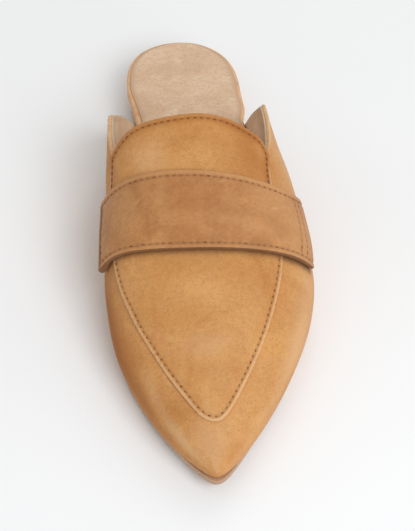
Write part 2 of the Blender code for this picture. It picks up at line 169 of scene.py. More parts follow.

# Rubbed places, and a painted glint on the toe (262.4), in the same columns but for the last,
# which is how strongly they show.
SCUFFS_AND_GLINT = (
    (228.5, -0.29, 1.7, 0.8, 50.0, 0.9),
    (226.0, -0.31, 0.8, 2.2, 15.0, 0.7),
    (262.4, -0.14, 1.8, 1.1, 0.0, 0.7),
    (228.0, 0.10, 14.0, 6.0, 8.0, 0.30),
    (246.0, -0.50, 10.0, 4.0, 35.0, 0.30),
    (244.0, 0.52, 12.0, 4.0, -35.0, 0.30),
    (205.0, 0.62, 5.0, 22.0, 0.0, 0.30),
    (130.0, -0.25, 8.0, 9.0, 0.0, 0.35),
    (196.0, -0.16, 9.0, 7.0, 10.0, 0.25),
    (120.0, 0.66, 8.0, 12.0, 0.0, 0.30),
)
# Patches of deeper (plus) and paler (minus) colour, in the same columns. Some are painted
# light: the deep patch down the medial side (196) is painted shade, and the pale ones on the
# lateral side (205, 118), on the toe (259) and along the medial toe (251, 229) are painted light.
TONES = (
    (196.0, -0.70, 13.0, 46.0, 0.0, 1.00),
    (251.0, -0.52, 9.0, 11.0, 35.0, -0.55),
    (259.0, -0.05, 26.0, 11.0, 0.0, -0.40),
    (252.0, 0.45, 9.0, 11.0, -35.0, 0.16),
    (228.0, 0.55, 10.0, 20.0, -25.0, 0.20),
    (181.0, 0.02, 26.0, 7.0, 0.0, 0.35),
    (127.0, 0.27, 9.0, 16.0, 0.0, 0.60),
    (122.0, -0.08, 14.0, 6.0, 10.0, 0.15),
    (131.0, -0.20, 8.0, 9.0, 0.0, -0.20),
    (205.0, 0.60, 11.0, 46.0, 0.0, -0.42),
    (118.0, 0.60, 12.0, 22.0, 0.0, -0.45),
    (226.0, 0.06, 15.0, 5.0, 6.0, 0.35),
    (236.0, 0.12, 10.0, 4.0, 25.0, 0.20),
    (214.0, 0.00, 13.0, 6.0, -4.0, -0.30),
    (199.0, -0.16, 12.0, 9.0, 15.0, 0.22),
    (190.0, 0.20, 9.0, 10.0, 0.0, 0.20),
    (186.0, -0.02, 12.0, 6.0, 0.0, -0.15),
    (240.0, -0.36, 8.0, 6.0, 45.0, 0.15),
    (229.0, -0.50, 7.0, 10.0, 25.0, -0.35),
)
STRAP_SCUFFS = (
    (150.5, -0.28, 2.0, 0.45, -20.0, 0.40),
    (153.0, -0.31, 1.3, 0.40, -35.0, 0.30),
    (157.0, -0.44, 1.8, 0.40, -50.0, 0.25),
    (152.0, 0.34, 2.6, 0.40, -30.0, 0.40),
    (144.8, 0.12, 1.8, 0.40, -30.0, 0.32),
    (163.0, 0.20, 14.0, 3.5, 6.0, 0.20),
)
STRAP_TONES = (
    (152.0, -0.38, 8.0, 12.0, 0.0, -0.15),
    (157.0, -0.03, 9.0, 13.0, 0.0, 0.30),
    (150.0, -0.15, 3.0, 11.0, 0.0, -0.30),
    (152.0, 0.42, 12.0, 18.0, 0.0, -0.45),
    (166.0, 0.22, 12.0, 5.0, 0.0, 0.15),
)


# --- Curves --------------------------------------------------------------------------------------


def smooth_through(knots, values, at):
    """Natural cubic spline through (knots, values), read at the places in `at`."""
    knots, values, at = (np.asarray(a, float) for a in (knots, values, at))
    count = len(knots)
    step = np.diff(knots)
    rise = np.diff(values) / step
    inner = np.arange(1, count - 1)
    system = np.eye(count)
    system[inner, inner - 1] = step[:-1]
    system[inner, inner] = 2 * (step[:-1] + step[1:])
    system[inner, inner + 1] = step[1:]
    right = np.zeros(count)
    right[1:-1] = 6 * np.diff(rise)
    bend = np.linalg.solve(system, right)
    k = np.clip(np.searchsorted(knots, at) - 1, 0, count - 2)
    t = at - knots[k]
    slope = rise[k] - step[k] * (2 * bend[k] + bend[k + 1]) / 6
    return values[k] + t * slope + t**2 * bend[k] / 2 + t**3 * (bend[k + 1] - bend[k]) / (6 * step[k])


def ease(x, start, end):
    """0 before start, 1 after end, and a smooth step (3t^2 - 2t^3) between them."""
    t = np.clip((np.asarray(x, float) - start) / (end - start), 0, 1)
    return t * t * (3 - 2 * t)


def hump(x, middle, width):
    """Bell curve exp(-(distance from the middle / width)^2)."""
    return np.exp(-(((x - middle) / width) ** 2))


def roundness(station, length):
    """Share of a length with both ends stretched, 2/pi asin(sqrt(share)), for round noses."""
    return np.arcsin(np.sqrt(np.clip(np.asarray(station, float) / length, 0, 1))) * 2 / pi


def stations_between(start, end, length, share):
    """Stations at each share of the way from start to end, crowded towards a nose at `length`."""
    first, final = roundness(start, length), roundness(end, length)
    return length * np.sin((first + (final - first) * share) * pi / 2) ** 2


def section(name, station, full):
    """A column of SECTIONS at any station, in units of `full` per hundred."""
    knots = roundness(SECTIONS[:, 0] / 100, 1.0)
    values = SECTIONS[:, SECTION_COLUMNS.index(name)]
    return smooth_through(knots, values, roundness(station, UPPER_LENGTH)) * full / 100


def along_length(points):
    """Distance run along a line of points, from 0 at its first."""
    return np.concatenate([[0.0], np.cumsum(np.linalg.norm(np.diff(points, axis=0), axis=-1))])


def read_along(values, run, at):
    """Each column of values, which stand at the distances `run`, read at the distances `at`."""
    return np.stack([np.interp(at, run, column) for column in values.T], axis=-1)


def unit(vectors):
    """The vectors at length one."""
    return vectors / np.maximum(np.linalg.norm(vectors, axis=-1, keepdims=True), 1e-9)


# --- Sole levels and footprint -------------------------------------------------------------------


def outsole_bottom(station):
    """Flat over the heel, an S-curve down to the tread, then up as a parabola to the toe."""
    toe = np.clip((station - TREAD_END) / (SOLE_LENGTH - TREAD_END), 0, None)
    return HEEL_HEIGHT * (1 - ease(station, HEEL_END, TREAD_START)) + TOE_SPRING * toe**2


def feather_height(station):
    """Height of the foot of the upper's wall, which stands on the outsole."""
    return outsole_bottom(station) + OUTSOLE_THICKNESS + GAP


def feather_width(side, station):
    """Half width at the foot of the upper's wall."""
    belly = section("belly_" + side, station, BALL_WIDTH)
    return belly - section("tuck_" + side, station, BALL_WIDTH)


def foot_edge(side, station):
    """Half width of the footprint: the heel seat's at the back, the upper's foot in front."""
    rear = np.concatenate([SEAT[:, 0], SEAT_TO_UPPER])
    seat = SEAT[:, 1 if side == "medial" else 2] * BALL_WIDTH / 100
    widths = np.concatenate([seat, feather_width(side, SEAT_TO_UPPER)])
    heel = smooth_through(roundness(rear, UPPER_LENGTH), widths, roundness(station, UPPER_LENGTH))
    front = feather_width(side, np.maximum(station, SEAT_TO_UPPER[0]))
    return heel + (front - heel) * ease(station, SEAT_TO_UPPER[0], SEAT_TO_UPPER[1])


# --- The last ------------------------------------------------------------------------------------


def last_surface(station, around):
    """Outer face of the upper: above the belly each side is a superellipse from the ridge to the
    widest line, below it the wall turns in along a parabola to its foot."""
    station, around = np.broadcast_arrays(np.asarray(station, float), np.asarray(around, float))
    medial = around < 0
    side = np.where(medial, -1.0, 1.0)

    def of_side(name, full):
        """The medial or the lateral column of SECTIONS, by the side that each place is on."""
        return np.where(
            medial, section(name + "_medial", station, full), section(name + "_lateral", station, full)
        )

    belly, tuck = of_side("belly", BALL_WIDTH), of_side("tuck", BALL_WIDTH)
    height, fullness = of_side("height", INSTEP_HEIGHT), of_side("fullness", 1.0)
    crest = section("crest", station, INSTEP_HEIGHT)
    ridge = section("ridge", station, BALL_WIDTH)
    angle = np.clip(np.abs(around) / BELLY, 0, 1) * pi / 2
    below = np.clip((np.abs(around) - BELLY) / (1 - BELLY), 0, 1)
    turned_in = tuck * below ** (2 + 2.2 * ease(station, *TOE_WALL))
    across = ridge + (side * belly - ridge) * np.sin(angle) ** (2 / fullness) - side * turned_in
    arch = height + (crest - height) * np.cos(angle).clip(0, 1) ** (2 / fullness)
    up = feather_height(station) + np.where(below > 0, height * (1 - below), arch)
    return np.stack([across, station, up], axis=-1)


def around_of(station, across):
    """The `around` above the belly that lies this far across: last_surface's arch turned round."""
    ridge = section("ridge", station, BALL_WIDTH)
    medial = across < ridge
    edge = np.where(
        medial,
        -section("belly_medial", station, BALL_WIDTH),
        section("belly_lateral", station, BALL_WIDTH),
    )
    fullness = np.where(
        medial, section("fullness_medial", station, 1.0), section("fullness_lateral", station, 1.0)
    )
    share = np.clip((across - ridge) / (edge - ridge), 0, 1)
    return np.where(medial, -1, 1) * np.arcsin(share ** (fullness / 2)) * 2 / pi * BELLY


def last_normal(station, around):
    """Unit normals of the last's outer face, from its two partial differences."""
    small_station, small_around = 0.05, 0.0005
    station = np.clip(station, 0, UPPER_LENGTH - 0.5)
    back, front = (last_surface(station + step, around) for step in (-small_station, small_station))
    left, right = (last_surface(station, around + step) for step in (-small_around, small_around))
    return unit(np.cross(right - left, front - back))


def bells(station, around, table):
    """Sum over a table's rows of strength x bell along the fold x bell across it."""
    total = np.zeros(np.broadcast_shapes(np.shape(station), np.shape(around)))
    for middle, place_around, length, width, turn, strength in table:
        forward = station - middle
        sideways = (around - place_around) * AROUND_SPAN
        c, s = np.cos(radians(turn)), np.sin(radians(turn))
        along = hump(sideways * c + forward * s, 0, length)
        total = total + strength * along * hump(forward * c - sideways * s, 0, width)
    return total


def relief(station, around):
    """Leather's own unevenness: the listed creases, and a slow waver of products of long sine
    waves. It fades out towards the nose."""
    waver = 0.07 * np.sin(station / 9.0 + 5 * around) * np.sin(around * 9.0 + station / 23.0)
    waver = waver + 0.05 * np.sin(station / 5.3 - 7 * around + 1.0) * np.sin(around * 15.0)
    return (waver - bells(station, around, CREASES)) * ease(UPPER_LENGTH - station, 0.0, 14.0)


def patches_at(station, around, table):
    """How strongly each place shows the patches in a table, held within -1 and 1."""
    return np.clip(bells(station, around, table), -1, 1)


def raised(station, around, lift):
    """The last's outer face with its relief, moved out by `lift` along its normals."""
    station, around, lift = np.broadcast_arrays(station, around, lift)
    out = relief(station, around) + lift
    return last_surface(station, around) + last_normal(station, around) * out[..., None]


# --- Meshes --------------------------------------------------------------------------------------


def place(points):
    """Across, station, height in millimetres to metres in the model's frame, toe at -Y."""
    moved = np.array(points, float)
    moved[..., 0] = moved[..., 0] * MM - ORIGIN_ACROSS
    moved[..., 1] = BACK_OF_HEEL - moved[..., 1] * MM
    moved[..., 2] = moved[..., 2] * MM
    return moved


def grid_piece(name, points, material, marks=None, weld=WELD):
    """A closed mesh of quads over a grid of points whose rows run round in loops. `marks` are named
    numbers for each point, which materials read."""
    rows, columns = points.shape[:2]
    index = np.arange(rows * columns).reshape(rows, columns)
    index = np.concatenate([index, index[:, :1]], axis=1)
    quads = np.stack([index[:-1, :-1], index[:-1, 1:], index[1:, 1:], index[1:, :-1]], axis=-1)
    mesh = bpy.data.meshes.new(name)
    mesh.from_pydata(place(points).reshape(-1, 3).tolist(), [], quads.reshape(-1, 4).tolist())
    add_marks(mesh, marks or {})
    return finish_piece(name, mesh, material, weld)


def add_marks(mesh, marks):
    """Stores named numbers, one for each of the mesh's points."""
    for mark, values in marks.items():
        layer = mesh.attributes.new(mark, "FLOAT", "POINT")
        layer.data.foreach_set("value", np.ascontiguousarray(values, np.float32).ravel())


def finish_piece(name, mesh, material, weld):
    """Merges doubles, turns the faces outwards, shades smooth and puts the piece on its body."""
    work = bmesh.new()
    work.from_mesh(mesh)
    bmesh.ops.remove_doubles(work, verts=work.verts, dist=weld * MM)
    bmesh.ops.dissolve_degenerate(work, edges=work.edges, dist=1e-7)
    bmesh.ops.recalc_face_normals(work, faces=work.faces)
    if work.calc_volume(signed=True) < 0:
        bmesh.ops.reverse_faces(work, faces=work.faces)
    work.to_mesh(mesh)
    work.free()
    mesh.shade_smooth()
    mesh.materials.append(material)
    piece = bpy.data.objects.new(name, mesh)
    bpy.context.scene.collection.objects.link(piece)
    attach(piece, "root")
    return piece


def border(points, end):
    """Unit directions in which a grid's first (end = 0) or last (end = -1) row leaves it."""
    inner = 1 if end == 0 else -2
    return unit(points[end] - points[inner])


def shell(outer, inner, first, last, sides):
    """Grid of a closed wall between an outer and an inner grid of points.

    Each row runs over the outer face, round one side edge, back over the inner face and round the
    other. The first and last rows are carried on round their own edges until both faces meet.
    Every edge is half an ellipse across the wall: (steps, how far it bulges per half thickness).
    """

    def side_edge(a, b, away):
        """Points from one line round to the other, bulging away from the wall."""
        steps, bulge = sides
        angle = np.linspace(0, pi, steps + 2)[1:-1, None]
        middle, half = (a + b)[:, None] / 2, (a - b)[:, None] / 2
        size = np.linalg.norm(half, axis=-1, keepdims=True)
        return middle + half * np.cos(angle) + away[:, None] * size * bulge * np.sin(angle)

    def across_rows(over, under):
        """Each row of both faces closed into a loop."""
        start = unit(over[:, 0] - over[:, 1])
        stop = unit(over[:, -1] - over[:, -2])
        end_edge = side_edge(over[:, -1], under[:, -1], stop)
        start_edge = side_edge(under[:, 0], over[:, 0], start)
        return np.concatenate([over, end_edge, under[:, ::-1], start_edge], axis=1)

    def end_rows(end, steps, bulge):
        """Rows that carry both faces on round an end until they meet."""
        away = border(outer, end)
        middle, half = (outer[end] + inner[end]) / 2, (outer[end] - inner[end]) / 2
        size = np.linalg.norm(half, axis=-1, keepdims=True)
        angle = np.linspace(0, pi / 2, steps + 1)[1:, None, None]
        push = away * size * bulge * np.sin(angle)
        over = middle + half * np.cos(angle) + push
        under = middle - half * np.cos(angle) + push
        return over, under

    before_over, before_under = end_rows(0, *first)
    after_over, after_under = end_rows(-1, *last)
    over = np.concatenate([before_over[::-1], outer, after_over])
    under = np.concatenate([before_under[::-1], inner, after_under])
    return across_rows(over, under)


def spread(values, rows, columns, first, last, sides, under=0.0, edge=0.0):
    """A mark for `shell`'s grid from values on its outer face, with others on the inner face and
    on the edges."""
    top, bottom, round_side = first[0], last[0], sides[0]
    full = np.full((rows + top + bottom, 2 * columns + 2 * round_side), float(edge))
    full[top : top + rows, :columns] = values
    full[top : top + rows, columns + round_side : 2 * columns + round_side] = under
    return full


def distance_to(points, line):
    """Distance from every point of a grid to the nearest point of a finely sampled line."""
    return np.stack(
        [np.sqrt(((row[:, None] - line[None]) ** 2).sum(-1).min(1)) for row in points]
    )


def dense_ends(count, edge, edge_share, length):
    """Shares from 0 to 1 that step finely over `edge` millimetres at both ends of a length.
    `edge_share` is the part of the steps that each end takes."""
    steps_at = np.array([0, edge_share, 1 - edge_share, 1])
    share_at = np.array([0, edge / length, 1 - edge / length, 1])
    return np.interp(np.linspace(0, 1, count), steps_at, share_at)


# --- Stitches ------------------------------------------------------------------------------------

STITCH_LENGTH = 1.9
THREAD = 0.58  # width of the thread
# One stitch: share along it, share of the thread's width, and rise in millimetres (its ends dip).
STITCH = np.array((
    (0.0, 0.25, -0.46), (0.10, 0.70, -0.16), (0.30, 0.95, 0.06), (0.50, 1.0, 0.11),
    (0.70, 0.95, 0.06), (0.90, 0.70, -0.16), (1.0, 0.25, -0.46),
))
STITCH_SIDES = 6
STITCH_SLANT = 0.32  # how far apart its two ends lie across the row, in widths of the thread
THREAD_FLATNESS = 0.75  # height of the thread in widths
STITCH_WELD = 1e-4


def row_of_stitches(path, normals, worn, length=STITCH_LENGTH, thread=THREAD):
    """Threads along a path on the leather. Each is a tube of STITCH_SIDES sides whose centre
    follows the path and whose width and rise follow the STITCH table. Returns (n, rings, sides, 3)
    points, each ring's share along its stitch, and how worn and pale it is: the row's own `worn`
    and a product of two sines in the stitch's number, with a dark fresh one now and then."""
    run = along_length(path)
    count = int(run[-1] // STITCH_PITCH)
    start = (run[-1] - count * STITCH_PITCH) / 2 + (STITCH_PITCH - length) / 2
    at = start + STITCH_PITCH * np.arange(count)[:, None] + length * STITCH[None, :, 0]
    centre, up = read_along(path, run, at), unit(read_along(normals, run, at))
    ahead = unit(np.gradient(centre, axis=1))
    over = unit(np.cross(ahead, up))
    slant = STITCH_SLANT * thread * (STITCH[:, 0] - 0.5)[None, :, None] * over
    centre = centre + up * STITCH[:, 2][None, :, None] + slant
    turn = np.linspace(0, 2 * pi, STITCH_SIDES, endpoint=False)
    radius = thread / 2 * STITCH[:, 1][None, :, None, None]
    flat = THREAD_FLATNESS * np.sin(turn)[:, None]
    ring = over[:, :, None] * np.cos(turn)[:, None] + up[:, :, None] * flat
    share = np.broadcast_to(STITCH[:, 0], at.shape)
    number = np.arange(count)[:, None]
    uneven = 0.35 * np.sin(2.4 * number) * np.sin(0.61 * number + 1)
    fresh = 0.8 * hump(np.sin(1.13 * number), 1, 0.06)
    paleness = np.broadcast_to(np.clip(worn + uneven - fresh, 0, 1), at.shape)
    return centre[:, :, None] + ring * radius, share, paleness


def stitched(name, rows, material):
    """All rows of stitches as one joined mesh of closed tubes. Marks give each point's share along
    its stitch and how worn it is."""
    tubes, shares, worn = (np.concatenate([row[i] for row in rows]) for i in range(3))
    count, rings, sides = tubes.shape[:3]
    index = np.arange(count * rings * sides).reshape(count, rings, sides)
    index = np.concatenate([index, index[:, :, :1]], axis=2)
    quads = np.stack(
        [index[:, :-1, :-1], index[:, :-1, 1:], index[:, 1:, 1:], index[:, 1:, :-1]], axis=-1
    ).reshape(-1, 4)
    caps = np.concatenate([index[:, 0, :-1], index[:, -1, :-1][:, ::-1]])
    mesh = bpy.data.meshes.new(name)
    mesh.from_pydata(place(tubes).reshape(-1, 3).tolist(), [], quads.tolist() + caps.tolist())
    on_rings = {"along": shares, "worn": worn}
    add_marks(mesh, {mark: np.repeat(on_rings[mark][..., None], sides, axis=-1) for mark in on_rings})
    finish_piece(name, mesh, material, STITCH_WELD)


# --- Materials -----------------------------------------------------------------------------------


def srgb(red, green, blue):
    """A colour given as 0 to 255 display values, in linear light with alpha 1."""
    c = np.array((red, green, blue)) / 255
    linear = np.where(c <= 0.04045, c / 12.92, ((c + 0.055) / 1.055) ** 2.4)
    return (*(float(v) for v in linear), 1.0)


# Colours, as display values from 0 to 255.
TAN_DEEP = srgb(194, 134, 76)
TAN_LIGHT = srgb(210, 155, 98)
TAN_GOLD = srgb(212, 154, 84)
TAN_ROSY = srgb(202, 138, 90)
TAN_SPECK = srgb(146, 92, 44)
# The next two colour the patches of TONES: deeper real patches and painted shade down the medial side,
# paler real patches and painted light on the lateral side and the toe.
TAN_DEEPER_AND_SHADE = srgb(164, 98, 38)
TAN_PALER_AND_LIT = srgb(217, 178, 136)
TAN_NAP = srgb(226, 176, 124)
RAW_EDGE = srgb(224, 188, 146)
# Painted shade: laid beside and under the strap, at the foot of the wall and on the strap's edges.
PAINTED_SHADE_BROWN = srgb(86, 50, 24)
STRAP_DEEP = srgb(174, 117, 67)
STRAP_LIGHT = srgb(190, 134, 82)
STRAP_ORANGE = srgb(194, 131, 72)
STRAP_RUBBED = srgb(208, 153, 98)
STRAP_DARK = srgb(130, 82, 44)
STRAP_DAMP = srgb(170, 106, 50)
STRAP_SCRATCH = srgb(222, 172, 120)
# Painted highlight on the strap's rolled edges, also used for its paler ends and edge faces.
STRAP_RIM_HIGHLIGHT = srgb(200, 147, 96)
LINING_DEEP = srgb(226, 193, 160)
LINING_LIGHT = srgb(240, 213, 182)
LINING_PORE = srgb(172, 140, 108)
LINING_EDGE = srgb(206, 184, 156)
SOCK_DEEP = srgb(212, 178, 146)
SOCK_LIGHT = srgb(226, 197, 166)
SOCK_ROSY = srgb(208, 168, 138)
SOCK_PORE = srgb(160, 124, 98)
SOCK_EDGE = srgb(196, 162, 132)
WRAP_DEEP = srgb(206, 156, 110)
WRAP_LIGHT = srgb(224, 178, 132)
THREAD_BROWN = srgb(126, 74, 42)
THREAD_WORN = srgb(170, 126, 88)
# HOLE and HOLE_WORN: painted shade inside the stitch holes; HOLE is also the dark of the thread's
# strands and the heel's glue lines.
HOLE = srgb(78, 46, 26)
HOLE_WORN = srgb(136, 94, 60)
SOLE_DEEP = srgb(180, 142, 114)
SOLE_LIGHT = srgb(200, 166, 138)
SOLE_FIBRE = srgb(150, 116, 92)
FLOOR_LIGHT = srgb(245, 245, 245)
FLOOR_SHADE = srgb(242, 242, 242)


class Finish:
    """A material under construction: short calls that add nodes and link them."""

    def __init__(self, name, roughness, specular=0.5, sheen=0.0):
        self.material = bpy.data.materials.new(name)
        self.material.use_nodes = True
        self.tree = self.material.node_tree
        self.shader = self.tree.nodes["Principled BSDF"]
        self.shader.inputs["Roughness"].default_value = roughness
        self.shader.inputs["Specular IOR Level"].default_value = specular
        self.shader.inputs["Sheen Weight"].default_value = sheen
        self.shader.inputs["Sheen Roughness"].default_value = 0.5
        self.where = self.tree.nodes.new("ShaderNodeTexCoord").outputs["Object"]
        self.height = None

    def link(self, value, socket):
        """Links an output to a socket, or sets a plain value on it."""
        if isinstance(value, bpy.types.NodeSocket):
            self.tree.links.new(value, socket)
        elif value is not None:
            socket.default_value = value

    def stretched(self, scale, turn=(0.0, 0.0, 0.0)):
        """Object coordinates scaled along each axis and turned, for a pattern with a direction."""
        node = self.tree.nodes.new("ShaderNodeMapping")
        node.inputs["Scale"].default_value = scale
        node.inputs["Rotation"].default_value = tuple(radians(t) for t in turn)
        self.tree.links.new(self.where, node.inputs["Vector"])
        return node.outputs["Vector"]

    def noise(self, size, detail=3.0, rough=0.55, warp=0.0, where=None):
        """Noise whose features are about `size` millimetres."""
        node = self.tree.nodes.new("ShaderNodeTexNoise")
        node.inputs["Scale"].default_value = 1 / (size * MM)
        node.inputs["Detail"].default_value = detail
        node.inputs["Roughness"].default_value = rough
        node.inputs["Distortion"].default_value = warp
        self.tree.links.new(where or self.where, node.inputs["Vector"])
        return node.outputs["Fac"]

    def cells(self, size):
        """Distance inside random cells of about `size` millimetres."""
        node = self.tree.nodes.new("ShaderNodeTexVoronoi")
        node.inputs["Scale"].default_value = 1 / (size * MM)
        self.tree.links.new(self.where, node.inputs["Vector"])
        return node.outputs["Distance"]

    def mark(self, name):
        """A number that the piece's mesh carries."""
        node = self.tree.nodes.new("ShaderNodeAttribute")
        node.attribute_name = name
        return node.outputs["Fac"]

    def spread(self, value, low, high, to_low=0.0, to_high=1.0, smooth=True):
        """The value mapped from low..high to to_low..to_high, and held beyond."""
        node = self.tree.nodes.new("ShaderNodeMapRange")
        node.interpolation_type = "SMOOTHSTEP" if smooth else "LINEAR"
        self.link(value, node.inputs["Value"])
        ends = {"From Min": low, "From Max": high, "To Min": to_low, "To Max": to_high}
        for socket, number in ends.items():
            node.inputs[socket].default_value = number
        return node.outputs["Result"]

    def arithmetic(self, kind, a, b):
        """One arithmetic step, such as ADD or MULTIPLY."""
        node = self.tree.nodes.new("ShaderNodeMath")
        node.operation = kind
        self.link(a, node.inputs[0])
        self.link(b, node.inputs[1])
        return node.outputs[0]

    def part(self, value, amount):
        """A value made weaker: the value times the amount."""
        return self.arithmetic("MULTIPLY", value, amount)

    def mix(self, amount, a, b):
        """Colour a turning to colour b by an amount."""
        node = self.tree.nodes.new("ShaderNodeMix")
        node.data_type = "RGBA"
        factor, first, second = (node.inputs[i] for i in (0, 6, 7))  # those of the RGBA kind
        self.link(amount, factor)
        self.link(a, first)
        self.link(b, second)
        return node.outputs[2]

    def toned(self, colour, deeper, paler):
        """The colour with the piece's mark `tone`: deeper where it is above 0, paler below."""
        colour = self.mix(self.spread(self.mark("tone"), 0.0, 1.0, smooth=False), colour, deeper)
        return self.mix(self.spread(self.mark("tone"), 0.0, -1.0, smooth=False), colour, paler)

    def bump(self, height, depth):
        """Relief of `depth` millimetres, laid over what is there."""
        node = self.tree.nodes.new("ShaderNodeBump")
        node.inputs["Distance"].default_value = depth * MM
        self.link(height, node.inputs["Height"])
        if self.height is not None:
            self.tree.links.new(self.height, node.inputs["Normal"])
        self.height = node.outputs["Normal"]

    def done(self, colour, roughness=None):
        """Links the colour, the roughness if it varies, and the relief, and gives the material."""
        self.link(colour, self.shader.inputs["Base Color"])
        self.link(roughness, self.shader.inputs["Roughness"])
        if self.height is not None:
            self.tree.links.new(self.height, self.shader.inputs["Normal"])
        return self.material


def nubuck():
    """Buffed tan leather: cloudy patches a few centimetres wide, a mottle of a few millimetres,
    the fine grain of the nap, deeper and paler patches, some of them painted shade and light,
    pale scuffs and a painted glint, a paler cut edge, and painted shade in the crevices beside
    the strap and at the foot of the wall."""
    f = Finish("tan_nubuck", roughness=0.85, specular=0.15, sheen=0.08)
    clouds = f.spread(f.noise(30, detail=3, warp=0.5), 0.32, 0.68)
    gold = f.spread(f.noise(14, detail=3, warp=0.4), 0.45, 0.75)
    rosy = f.spread(f.noise(8, detail=4, rough=0.6), 0.48, 0.78)
    mottle = f.noise(2.6, detail=4, rough=0.65)
    nap = f.noise(0.95, detail=3, rough=0.7)
    colour = f.mix(clouds, TAN_DEEP, TAN_LIGHT)
    colour = f.mix(f.part(gold, 0.45), colour, TAN_GOLD)
    colour = f.mix(f.part(rosy, 0.45), colour, TAN_ROSY)
    colour = f.mix(f.spread(mottle, 0.40, 0.80, 0.0, 0.26), colour, TAN_SPECK)
    colour = f.mix(f.spread(nap, 0.42, 0.78, 0.0, 0.34), colour, TAN_SPECK)
    colour = f.mix(f.spread(nap, 0.50, 0.25, 0.0, 0.16), colour, TAN_NAP)
    # Deeper and paler patches; some are painted shade (medial side) and painted light (lateral side,
    # toe).
    colour = f.toned(colour, TAN_DEEPER_AND_SHADE, TAN_PALER_AND_LIT)
    colour = f.mix(f.mark("groove"), colour, TAN_SPECK)
    # Pale scuffs, and the painted glint on the toe.
    scuff_and_glint = f.part(f.mark("scuff_and_glint"), f.spread(f.noise(1.3, detail=3), 0.35, 0.6))
    colour = f.mix(scuff_and_glint, colour, TAN_NAP)
    fuzz = f.spread(f.noise(1.4, detail=4, rough=0.7), 0.30, 0.62, 0.3, 1.2)
    colour = f.mix(f.part(f.mark("rim"), fuzz), colour, RAW_EDGE)
    # Painted shade beside the strap and at the foot of the wall.
    colour = f.mix(f.mark("painted_shade"), colour, PAINTED_SHADE_BROWN)
    f.bump(nap, 0.07)
    f.bump(mottle, 0.10)
    f.bump(gold, 0.25)
    return f.done(colour, f.spread(mottle, 0.3, 0.7, 0.78, 0.92))


def strap_leather():
    """Waxed pull-up leather: darker and redder in patches, paler where it is rubbed, with thin
    scratches and a fine pebble; a painted highlight along its rolled edges, and painted shade on
    its bottom edge, underside and ends."""
    f = Finish("waxed_strap_leather", roughness=0.6, specular=0.3, sheen=0.08)
    clouds = f.spread(f.noise(24, detail=3, warp=0.8), 0.36, 0.64)
    orange = f.spread(f.noise(11, detail=4, warp=0.6), 0.46, 0.74)
    gold = f.spread(f.noise(6, detail=4, rough=0.6, warp=0.4), 0.50, 0.78)
    mottle = f.noise(2.4, detail=5, rough=0.7)
    pores = f.noise(0.9, detail=2, rough=0.65)
    colour = f.mix(clouds, STRAP_DEEP, STRAP_LIGHT)
    colour = f.mix(f.part(orange, 0.40), colour, STRAP_ORANGE)
    colour = f.mix(f.part(gold, 0.25), colour, STRAP_RUBBED)
    colour = f.mix(f.spread(mottle, 0.42, 0.78, 0.0, 0.30), colour, STRAP_DARK)
    colour = f.mix(f.spread(mottle, 0.48, 0.26, 0.0, 0.20), colour, STRAP_RUBBED)
    colour = f.mix(f.spread(pores, 0.46, 0.76, 0.0, 0.34), colour, STRAP_DARK)
    colour = f.toned(colour, STRAP_DAMP, STRAP_RUBBED)
    colour = f.mix(f.mark("scuff_and_glint"), colour, STRAP_SCRATCH)
    colour = f.mix(f.mark("groove"), colour, STRAP_DARK)
    # Painted highlight along the rolled edges, and paler ends and edge faces.
    colour = f.mix(f.mark("rim"), colour, STRAP_RIM_HIGHLIGHT)
    # Painted shade on the strap's bottom edge, underside and ends.
    colour = f.mix(f.mark("painted_shade"), colour, PAINTED_SHADE_BROWN)
    f.bump(f.cells(0.9), 0.06)
    f.bump(mottle, 0.12)
    return f.done(colour, f.spread(mottle, 0.3, 0.7, 0.5, 0.7))


def lining_leather():
    """Smooth grey-brown lining with fine pores, and its cream cut edge."""
    f = Finish("grey_brown_lining", roughness=0.7, specular=0.3)
    clouds = f.spread(f.noise(16, detail=4), 0.35, 0.65)
    pores = f.spread(f.cells(0.8), 0.10, 0.32, 1.0, 0.0)
    colour = f.mix(clouds, LINING_DEEP, LINING_LIGHT)
    colour = f.mix(f.part(pores, 0.35), colour, LINING_PORE)
    colour = f.mix(f.mark("rim"), colour, LINING_EDGE)
    f.bump(f.noise(0.8, detail=3), 0.08)
    return f.done(colour)


def sock_leather():
    """Beige sock: soft grain in faint slanting streaks, rosy clouds and fine pores."""
    f = Finish("beige_sock_leather", roughness=0.78, specular=0.3)
    clouds = f.spread(f.noise(20, detail=4, warp=0.5), 0.34, 0.66)
    slanting = f.stretched((0.7, 1.3, 1.0), (0, 0, 28))
    grain = f.spread(f.noise(2.8, detail=4, rough=0.65, where=slanting), 0.34, 0.68)
    pores = f.spread(f.noise(1.0, detail=3, rough=0.65), 0.46, 0.74)
    colour = f.mix(clouds, SOCK_DEEP, SOCK_LIGHT)
    colour = f.mix(f.part(grain, 0.55), colour, SOCK_ROSY)
    colour = f.mix(f.part(pores, 0.42), colour, SOCK_PORE)
    colour = f.mix(f.mark("rim"), colour, SOCK_EDGE)
    f.bump(f.cells(1.1), 0.10)
    f.bump(f.noise(4, detail=4), 0.15)
    return f.done(colour)


def wrap_leather():
    """Tan leather pulled round the insole's edge: smooth, with a soft mottle and fine specks."""
    f = Finish("tan_wrapping_leather", roughness=0.6, specular=0.35)
    mottle = f.spread(f.noise(9, detail=4), 0.35, 0.65)
    specks = f.spread(f.noise(0.9, detail=2), 0.55, 0.72)
    colour = f.mix(mottle, WRAP_DEEP, WRAP_LIGHT)
    colour = f.mix(f.part(specks, 0.25), colour, TAN_SPECK)
    f.bump(f.noise(0.8, detail=3), 0.08)
    return f.done(colour)


